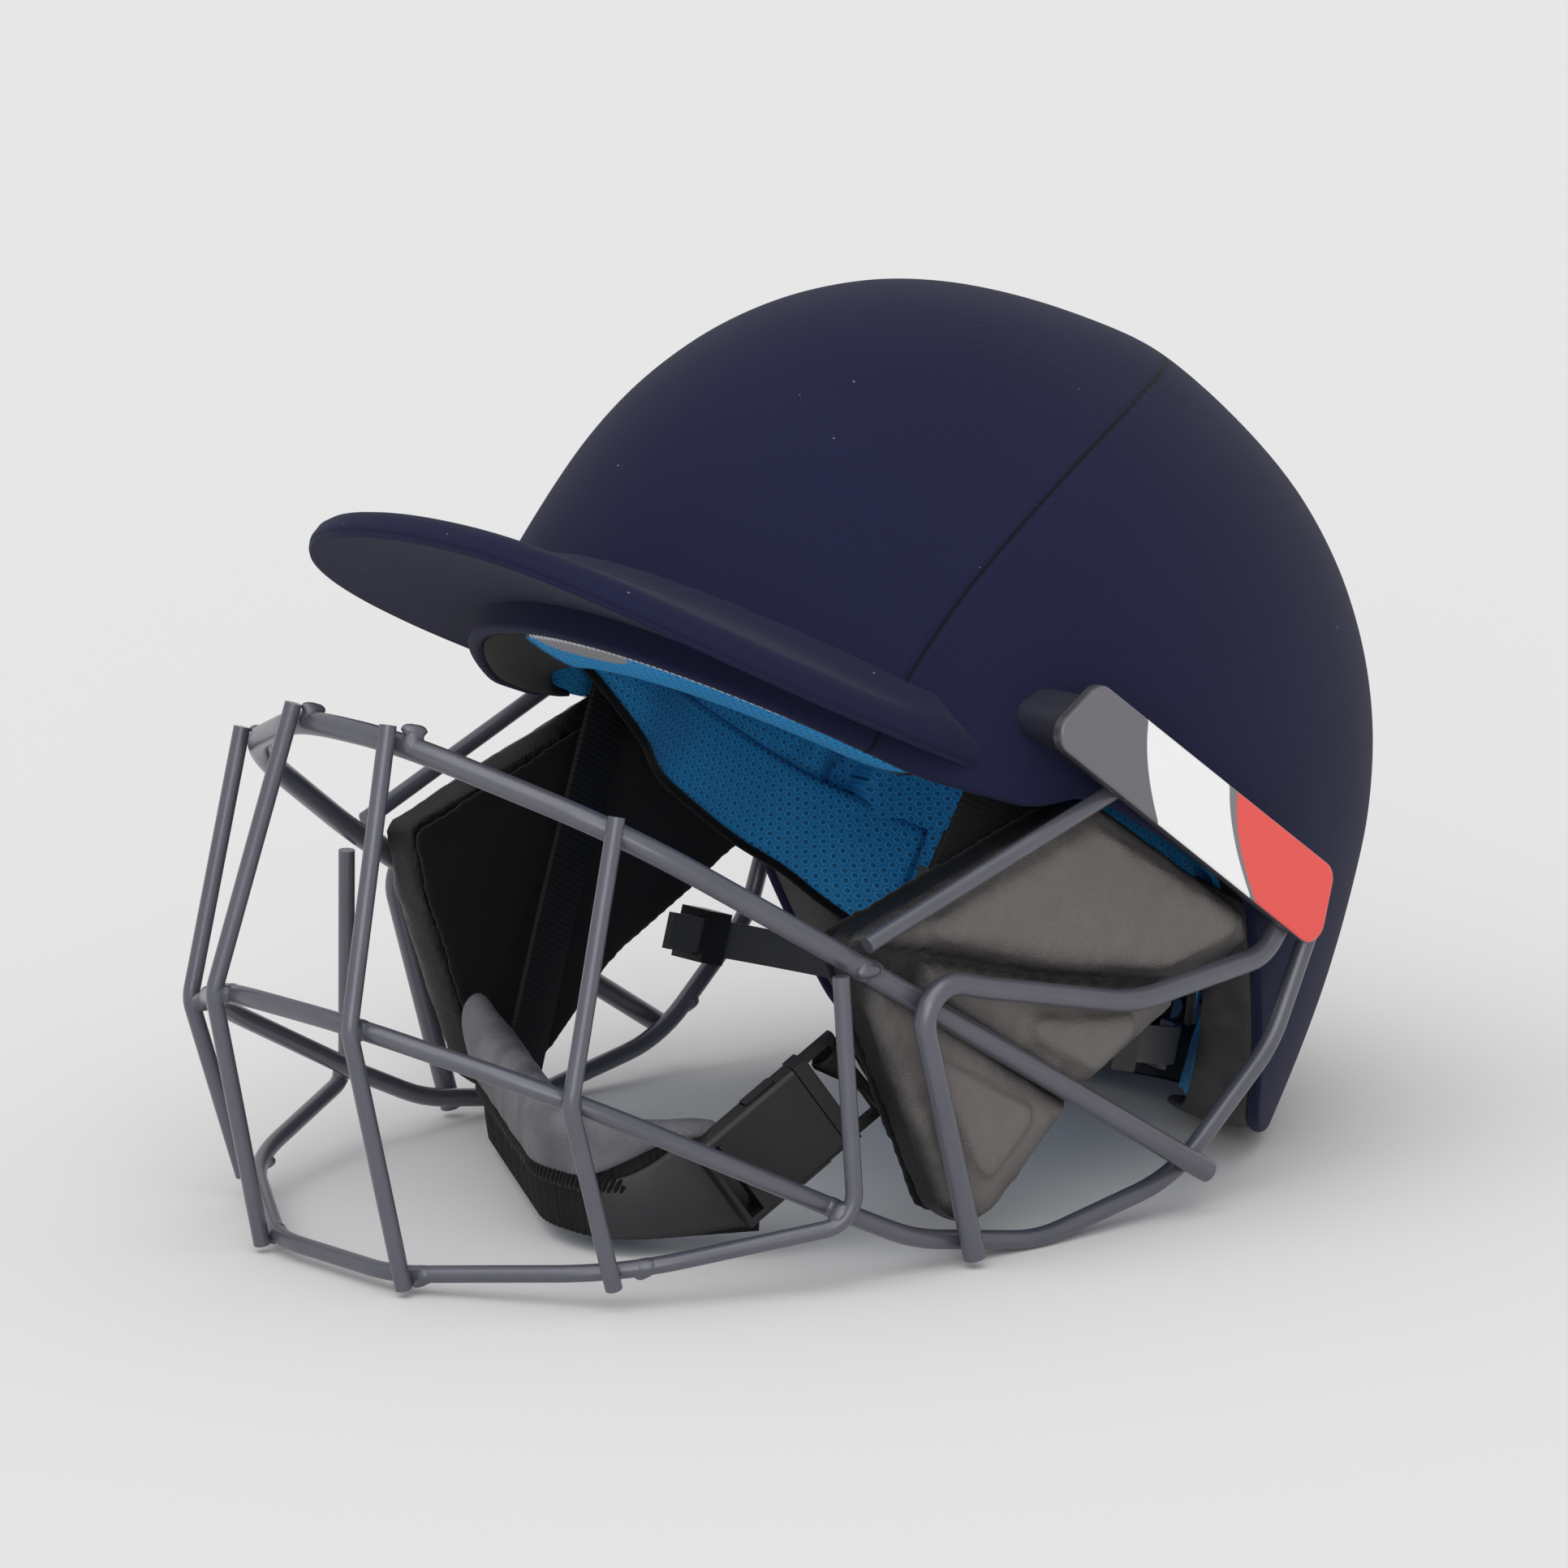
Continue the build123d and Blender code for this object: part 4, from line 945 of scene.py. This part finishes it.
# cloth that hangs from the side pads over the tops of the ear linings
skirt = {
    "edges": (  # y, then z and the distance from the middle, of the upper edge and of the lower one
        (-64, -9, 69.5, -17, 71), (-46, -9, 71, -21.5, 72), (-30, -9, 73.5, -26, 73.5),
        (-14, -8, 78.5, -29.5, 81), (0, -8, 79.8, -31.3, 83.2), (24, -9, 78.6, -33.4, 84),
        (40, -9, 74.5, -34.6, 79), (52, -8, 70.2, -37.5, 72.8), (60, -8, 65.8, -39.5, 66.8),
        (68, -8, 60.5, -42, 60.6),
    ),
    "thick": 1.1, "bow": 0.8, "ripple": 0.3, "rows": 12, "piping": 1.25, "pipingIn": 0.3, "pipingDown": 0.6,
}


def makeSkirt(name, side):
    top = smoothPath([(side * x, y, z) for y, z, x, *_ in skirt["edges"]])
    foot = smoothPath([(side * x, y, z) for y, *_, z, x in skirt["edges"]])
    foot = [foot[round(i * (len(foot) - 1) / (len(top) - 1))] for i in range(len(top))]
    points, rows = [], skirt["rows"]
    for high, low in zip(top, foot):
        for layer in (0, 1):
            for row in range(rows):
                t = (row if layer == 0 else rows - 1 - row) / (rows - 1)
                p = high + (low - high) * t
                bow = skirt["bow"] * math.sin(math.pi * t) + skirt["ripple"] * noise.noise(p * 0.09)
                points.append(toRow(p - Vector((side, 0, 0)) * (bow - layer * skirt["thick"])))
    sheet = tidyMesh(newObject(name, points, tubeFaces(len(top), 2 * rows), finishes["blueMesh"]))
    place(sheet, "helmet", "pad_lining")
    shift = Vector((side * skirt["pipingIn"], 0, skirt["pipingDown"]))
    piping = cordAlong(name + "Piping", [toRow(p - shift) for p in foot], skirt["piping"], 3)
    place(piping, "helmet", "black_trim")


# flat webbing of the chin strap
straps = {
    "anchor": (77.8, -45.0, -14.0), "buckleTop": (66.3, -42.3, -101.4), "buckleFoot": (56.7, -55.9, -135.6),
    "cupEnd": (-63.2, -30.2, -125.7), "lean": 18.0, "tail": 8.0, "sag": 0.8, "steps": 40, "sagFrom": 6,
    "bar": 37.0, "barReach": 2.6, "knee": 52.0, "kneeGap": 3.0, "kneeShare": 0.25, "straight": 30.0,
    "step": 1.6, "backGap": 1.9, "loop": 2.4, "loopSteps": 14, "loopFrom": -20, "loopTurn": 220,
    "backWide": 0.98, "halfFlat": 9.3, "edge": 0.7, "halfGap": 0.1,
}
stripShape = []  # the webbing's section, its corners rounded
for cornerX, cornerY, first in ((1, 1, 0), (-1, 1, 90), (-1, -1, 180), (1, -1, 270)):
    for angle in (0, 45, 90):
        turn = math.radians(first + angle)
        flat, thick = cornerX * straps["halfFlat"], cornerY * straps["halfGap"]
        stripShape.append((flat + straps["edge"] * math.cos(turn), thick + straps["edge"] * math.sin(turn)))
anchorLeft = Vector(straps["anchor"])
anchorRight = Vector((-anchorLeft[0], anchorLeft[1], anchorLeft[2]))
buckleFoot, buckleTop = Vector(straps["buckleFoot"]), Vector(straps["buckleTop"])
buckleRun = (buckleTop - buckleFoot).normalized()
leftFlat = (anchorLeft - buckleTop).cross(buckleFoot - buckleTop).normalized()
leftFlat = leftFlat if leftFlat[0] > 0 else -leftFlat
cupEnd = Vector(straps["cupEnd"])
lean = math.radians(straps["lean"])
rightFlat = (anchorRight - cupEnd).cross(Vector((math.sin(lean), -math.cos(lean), 0))).normalized()
rightFlat = rightFlat if rightFlat[0] < 0 else -rightFlat


def markRuns(made, runs, sides):  # for the ribs of the webbing
    for name, values in (("along", runs), ("across", sides)):
        marks = made.data.attributes.new(name, "FLOAT", "POINT").data
        for mark, value in zip(marks, values):
            mark.value = value


def ribbon(name, path, sideways, wide=1.0):
    points, runs, run, before = [], [], 0.0, path[0]
    for p, ahead in zip(path, headings(path)):
        across = (sideways - ahead * (sideways.dot(ahead) / ahead.length_squared)).normalized()
        out = ahead.cross(across).normalized()
        run += (p - before).length
        before = p
        points += [toRow(p + across * x * wide + out * y) for x, y in stripShape]
        runs += [run] * len(stripShape)
    made = newObject(name, points, tubeFaces(len(path), len(stripShape)), finishes["web"])
    markRuns(made, runs, [x for x, y in stripShape] * len(path))
    return made


def makeRightStrap():
    steps, start = straps["steps"], straps["sagFrom"]
    down, span = (cupEnd - anchorRight).normalized(), (cupEnd - anchorRight).length
    path = []
    for step in range(steps + 1):
        sag = straps["sag"] * math.sin(math.pi * min(1, max(0, step - start) / (steps - start)))
        run = -straps["tail"] + (span + straps["tail"]) * step / steps
        path.append(anchorRight + down * run + rightFlat * sag)
    right = ribbon("webbingRight", path, down.cross(rightFlat))
    return place(right, "strap", "black_webbing", "strap_right")


def makeLeftStrap():
    knee = buckleFoot + buckleRun * straps["knee"]
    bar = buckleFoot + buckleRun * (straps["bar"] + straps["barReach"])
    down = (knee - anchorLeft).normalized()
    corners = [anchorLeft - down * straps["tail"], anchorLeft, anchorLeft + down * straps["straight"]]
    corners += [knee + (anchorLeft - knee) * straps["kneeShare"], knee - buckleRun * straps["kneeGap"], bar]
    path = smoothPath(corners, straps["step"])
    across = down.cross(leftFlat)
    left = place(ribbon("webbingLeft", path, across), "strap", "black_webbing", "strap_left")
    back = [p - leftFlat * straps["backGap"] for p in path[18:-4]]
    middle = buckleFoot + buckleRun * straps["bar"]
    loop = []
    for step in range(straps["loopSteps"] + 1):  # round the buckle's bar, to the layer behind
        angle = math.radians(straps["loopFrom"] + straps["loopTurn"] * step / straps["loopSteps"])
        loop.append(middle + (leftFlat * math.cos(angle) - buckleRun * math.sin(angle)) * straps["loop"])
    for name, run in (("webbingFold", smoothPath(back[:2] + back[2::3])), ("webbingWrap", loop)):
        place(ribbon(name, run, across, straps["backWide"]), "strap", "black_webbing")
    return left


rightWebbing = makeRightStrap()
for piece in (makeLeftStrap(), rightWebbing):
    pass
makeSkirt("liningSkirtLeft", 1)
makeSkirt("liningSkirtRight", -1)
print("straps and skirts made")


# chin cup, on the floor plan that the CAD uses
cup = {
    "run": ((-72.2, 118.0), (-66.0, 99.0), (12.0, 53.0), (36.0, 53.0), (53.0, 88.0)),
    "bends": (14.0, 30.0, 18.0), "step": 0.55, "rows": 12, "low": 0.6, "height": 28.0, "thick": 2.2,
    "rib": 2.3, "ribDeep": 0.5, "ribTo": 0.8, "bulge": 1.6, "bulgeFrom": 0.2, "binding": 15.0, "lie": 0.5,
}
leather = {
    "from": 0.1, "to": 0.94, "detail": 2.4, "endRun": 0.035, "endHalf": 0.35, "swell": 0.3,
    "slant": (0.74, 0.96), "slantRise": 13.0, "tip": 0.13, "tipRise": (14.0, 34.0), "tipOut": 5.0,
    "tipUp": 5.0, "sink": 4.0, "sinkRun": (0.6, 1.0), "sinkRise": (24.0, 33.0),
    "section": (  # as (inwards, z, half thickness), from inside the cup over the top to its outer side
        (4.2, 9.0, 2.7), (4.4, 15.0, 3.0), (4.2, 22.0, 3.0), (3.4, 28.5, 2.7), (0.4, 32.8, 2.3),
        (-3.2, 29.5, 1.6), (-3.7, 22.0, 1.5), (-3.1, 15.8, 1.0),
    ),
}
stitches = {"strands": 3, "from": 0.1, "to": 0.8, "radius": 0.75, "rise": 1.9, "out": 0.6, "turn": 0.1375}
facing = {
    "from": 0.77, "end": 6, "half": 0.7, "swell": 0.5, "foot": 0.3, "footRise": 1.5, "over": 1.5,
    "under": 2.5,
}


def roundedRun(points, radii, step):
    points = [Vector(p) for p in points]
    path = [points[0]]
    for before, corner, after, radius in zip(points, points[1:], points[2:], radii):
        a, b = (before - corner).normalized(), (after - corner).normalized()
        half = math.acos(max(-1, min(1, a.dot(b)))) / 2
        cut = radius / math.tan(half)
        middle = corner + (a + b).normalized() * radius / math.sin(half)
        start, end = corner + a * cut, corner + b * cut
        u, v = start - middle, end - middle
        sweep = math.acos(max(-1, min(1, u.dot(v) / radius ** 2)))
        for i in range(13):
            t = i / 12
            path.append(middle + (u * math.sin((1 - t) * sweep) + v * math.sin(t * sweep)) / math.sin(sweep))
    path.append(points[-1])
    even = [path[0]]
    for a, b in zip(path, path[1:]):
        count = max(1, round((b - a).length / step))
        even += [a + (b - a) * (i + 1) / count for i in range(count)]
    return even


def withLeft(path):  # each point of a run, with the way to its left
    ways = [ahead.normalized() for ahead in headings(path)]
    return [(p, Vector((-ahead[1], ahead[0]))) for p, ahead in zip(path, ways)]


cupPath = withLeft(roundedRun(cup["run"], cup["bends"], cup["step"]))
cupHigh = cup["low"] + cup["height"]


def cupSpot(p, left, inwards, z):
    spot = p + left * inwards
    return (Vector((spot[0], spot[1], z)) + rowMove) / 1000


def wallAlong(name, path, loopAt, finish):
    points, runs, run, before = [], [], 0.0, path[0][0]
    for index, (p, left) in enumerate(path):
        run += (p - before).length
        before = p
        loop = loopAt(index / (len(path) - 1), run)
        points += [cupSpot(p, left, out, z) for out, z in loop]
        runs += [run] * len(loop)
    made = newObject(name, points, tubeFaces(len(path), len(loop)), finishes[finish])
    markRuns(made, runs, [0.0] * len(runs))
    return tidyMesh(made, 0.00001)


def wallLoop(half, low, high, swell):  # outer face up, inner face down, as (inwards, z)
    shares = [row / cup["rows"] for row in range(cup["rows"] + 1)]
    outer = [(-half - swell * math.sin(math.pi * t), low + (high - low) * t) for t in shares]
    inner = [(half - swell * math.sin(math.pi * t) * 0.8, low + (high - low) * t) for t in shares]
    return outer + inner[::-1]


def cupBulge(z):
    return cup["bulge"] * math.sin(math.pi * (z - cup["low"]) / cup["height"])


def bandLoop(t, run):  # ribbed webbing
    rib = 0.5 - 0.5 * math.cos(2 * math.pi * run / cup["rib"])
    groove = cup["ribDeep"] * rib if t < cup["ribTo"] else 0.0
    full = ease(t, 0.0, cup["bulgeFrom"])
    loop = wallLoop(cup["thick"] / 2, cup["low"], cupHigh, 0.0)
    return [(out + (groove if out < 0 else 0.0) - cupBulge(z) * full, z) for out, z in loop]


def leatherLoop(t, run):  # a soft fold over the webbing's upper edge
    full = math.sqrt(min(1.0, min(t, 1 - t) / leather["endRun"]))
    spine = smoothPath([Vector(spot) for spot in leather["section"]], leather["detail"])
    low = cup["binding"] + 1.0 + leather["slantRise"] * ease(t, *leather["slant"])
    sink = leather["sink"] * ease(t, *leather["sinkRun"])
    near, far = [], []
    for (out, z, half), ahead in zip(spine, headings(spine)):
        side = Vector((-ahead[1], ahead[0])).normalized()
        if out < -1.0:  # the outer layer ends at an edge that slants up
            z = max(z, low + (z - leather["section"][-1][1]) * 0.3)
        tip = (1 - ease(t, 0.0, leather["tip"])) * ease(z, *leather["tipRise"])
        swell = leather["swell"] * noise.noise(Vector((run * 0.1, z * 0.12, out * 0.2)))
        out -= leather["tipOut"] * tip
        z += leather["tipUp"] * tip - sink * ease(z, *leather["sinkRise"])
        half = half * (leather["endHalf"] + (1 - leather["endHalf"]) * full) + swell
        near.append((out + side[0] * half, z + side[1] * half))
        far.append((out - side[0] * half, z - side[1] * half))
    return near + far[::-1]


def facingLoop(t, run):  # smooth facing at the buckle end, its upper edge slanting up
    low, high = cup["binding"] + facing["over"], cupHigh - facing["under"] + facing["over"]
    top = low + (high - low) * ease(t, 0.0, 0.7)
    foot = cup["low"] + facing["foot"] + facing["footRise"] * ease(t, 0.5, 1.0)
    loop = wallLoop(facing["half"], foot, top, facing["swell"])
    return [(out - cup["thick"] / 2 - cupBulge(z) - cup["lie"], z) for out, z in loop]


def cupPart(first, last):
    return cupPath[int(len(cupPath) * first):int(len(cupPath) * last)]


def makeCup():
    band = wallAlong("cupWebbing", cupPath, bandLoop, "web")
    place(band, "strap", "black_webbing", "cup_webbing")
    lip = wallAlong("cupLip", cupPart(leather["from"], leather["to"])[::2], leatherLoop, "greyHide")
    refine(lip)
    place(lip, "strap", "grey_leather", "chin_cup")
    for strand in range(stitches["strands"]):  # zigzag binding under the leather's edge
        points = []
        for index, (p, left) in enumerate(cupPart(stitches["from"], stitches["to"])):
            angle = 2 * math.pi * (stitches["turn"] * index + strand / stitches["strands"])
            z = cup["binding"] + stitches["rise"] * math.sin(angle)
            out = cup["thick"] / 2 + cupBulge(z) + cup["lie"] + stitches["out"] * math.cos(angle)
            points.append(cupSpot(p, left, -out, z))
        place(cordAlong(f"cupStitch{strand}", points, stitches["radius"], 2), "strap", "black_webbing")
    path = cupPart(facing["from"], 1)[:-facing["end"]]
    place(wallAlong("cupFacing", path, facingLoop, "facing"), "strap", "black_plastic")


makeCup()
print("chin cup made")


# weld beads where the bars cross
welds = {
    "touch": 3.5, "apart": 12.0, "around": 10.5, "slack": 1.2, "reach": 3.6, "swell": 1.1, "inwards": 0.12,
    "coreSize": 0.9, "coreReach": 3.2, "rings": 9, "steps": 16, "voxel": 0.55,
}


def barLine(verts, near):  # middle and direction of a bar close to a point, and its radius
    close = [v for v in verts if (v - near).length < welds["around"] / 1000]
    if len(close) < 8:
        return None
    centre = sum(close, Vector()) / len(close)
    scatter = Matrix(((0, 0, 0), (0, 0, 0), (0, 0, 0)))
    for v in close:
        d = v - centre
        for i in range(3):
            for j in range(3):
                scatter[i][j] += d[i] * d[j]
    axis = Vector((0.3, 0.5, 0.8))
    for _ in range(40):
        axis = (scatter @ axis).normalized()
    radius = sum(((v - centre) - axis * (v - centre).dot(axis)).length for v in close) / len(close)
    return centre, axis, radius


def capsule(points, faces, centre, axis, radius, half):
    side = axis.orthogonal().normalized()
    other = axis.cross(side)
    rings, steps, base = welds["rings"], welds["steps"], len(points)
    for ring in range(rings):
        t = -1 + 2 * ring / (rings - 1)
        size = radius * math.sqrt(max(0.02, 1 - abs(t) ** 3))
        for step in range(steps):
            angle = 2 * math.pi * step / steps
            outward = side * math.cos(angle) + other * math.sin(angle)
            points.append(centre + axis * t * half + outward * size)
    faces += [tuple(base + i for i in face) for face in tubeFaces(rings, steps)]


def meetings(first, second):  # points where two sets of bars touch
    tree = KDTree(len(second))
    for index, v in enumerate(second):
        tree.insert(v, index)
    tree.balance()
    found = []
    for v in first:
        spot, _, gap = tree.find(v)
        if gap < welds["touch"] / 1000 and all((spot - f).length > welds["apart"] / 1000 for f in found):
            found.append(spot)
    return found


def weld(points, faces, lines):
    (c1, a1, r1), (c2, a2, r2) = lines
    pair = geometry.intersect_line_line(c1, c1 + a1, c2, c2 + a2)
    if not pair or (pair[0] - pair[1]).length > r1 + r2 + welds["slack"] / 1000:
        return 0
    joint = (pair[0] + pair[1]) / 2
    for spot, axis, radius in ((pair[0], a1, r1), (pair[1], a2, r2)):
        middle = spot + (joint - spot) * welds["inwards"]
        capsule(points, faces, middle, axis, radius * welds["swell"], welds["reach"] / 1000)
    between = (a1 + a2 if a1.dot(a2) > 0 else a1 - a2).normalized()
    capsule(points, faces, joint, between, min(r1, r2) * welds["coreSize"], welds["coreReach"] / 1000)
    return 1


def makeWelds():
    bars = [[v.co.copy() for v in nodes[name].data.vertices] for name in guardBars]
    points, faces, count = [], [], 0
    for first, second in combinations(bars, 2):
        for near in meetings(first, second):
            lines = [barLine(first, near), barLine(second, near)]
            if None not in lines:
                count += weld(points, faces, lines)
    made = remeshed(newObject("weldBeads", points, faces, finishes["steel"]), welds["voxel"], 4, "steel")
    print("weld beads", count)
    return place(made, "helmet", "coated_steel")


makeWelds()
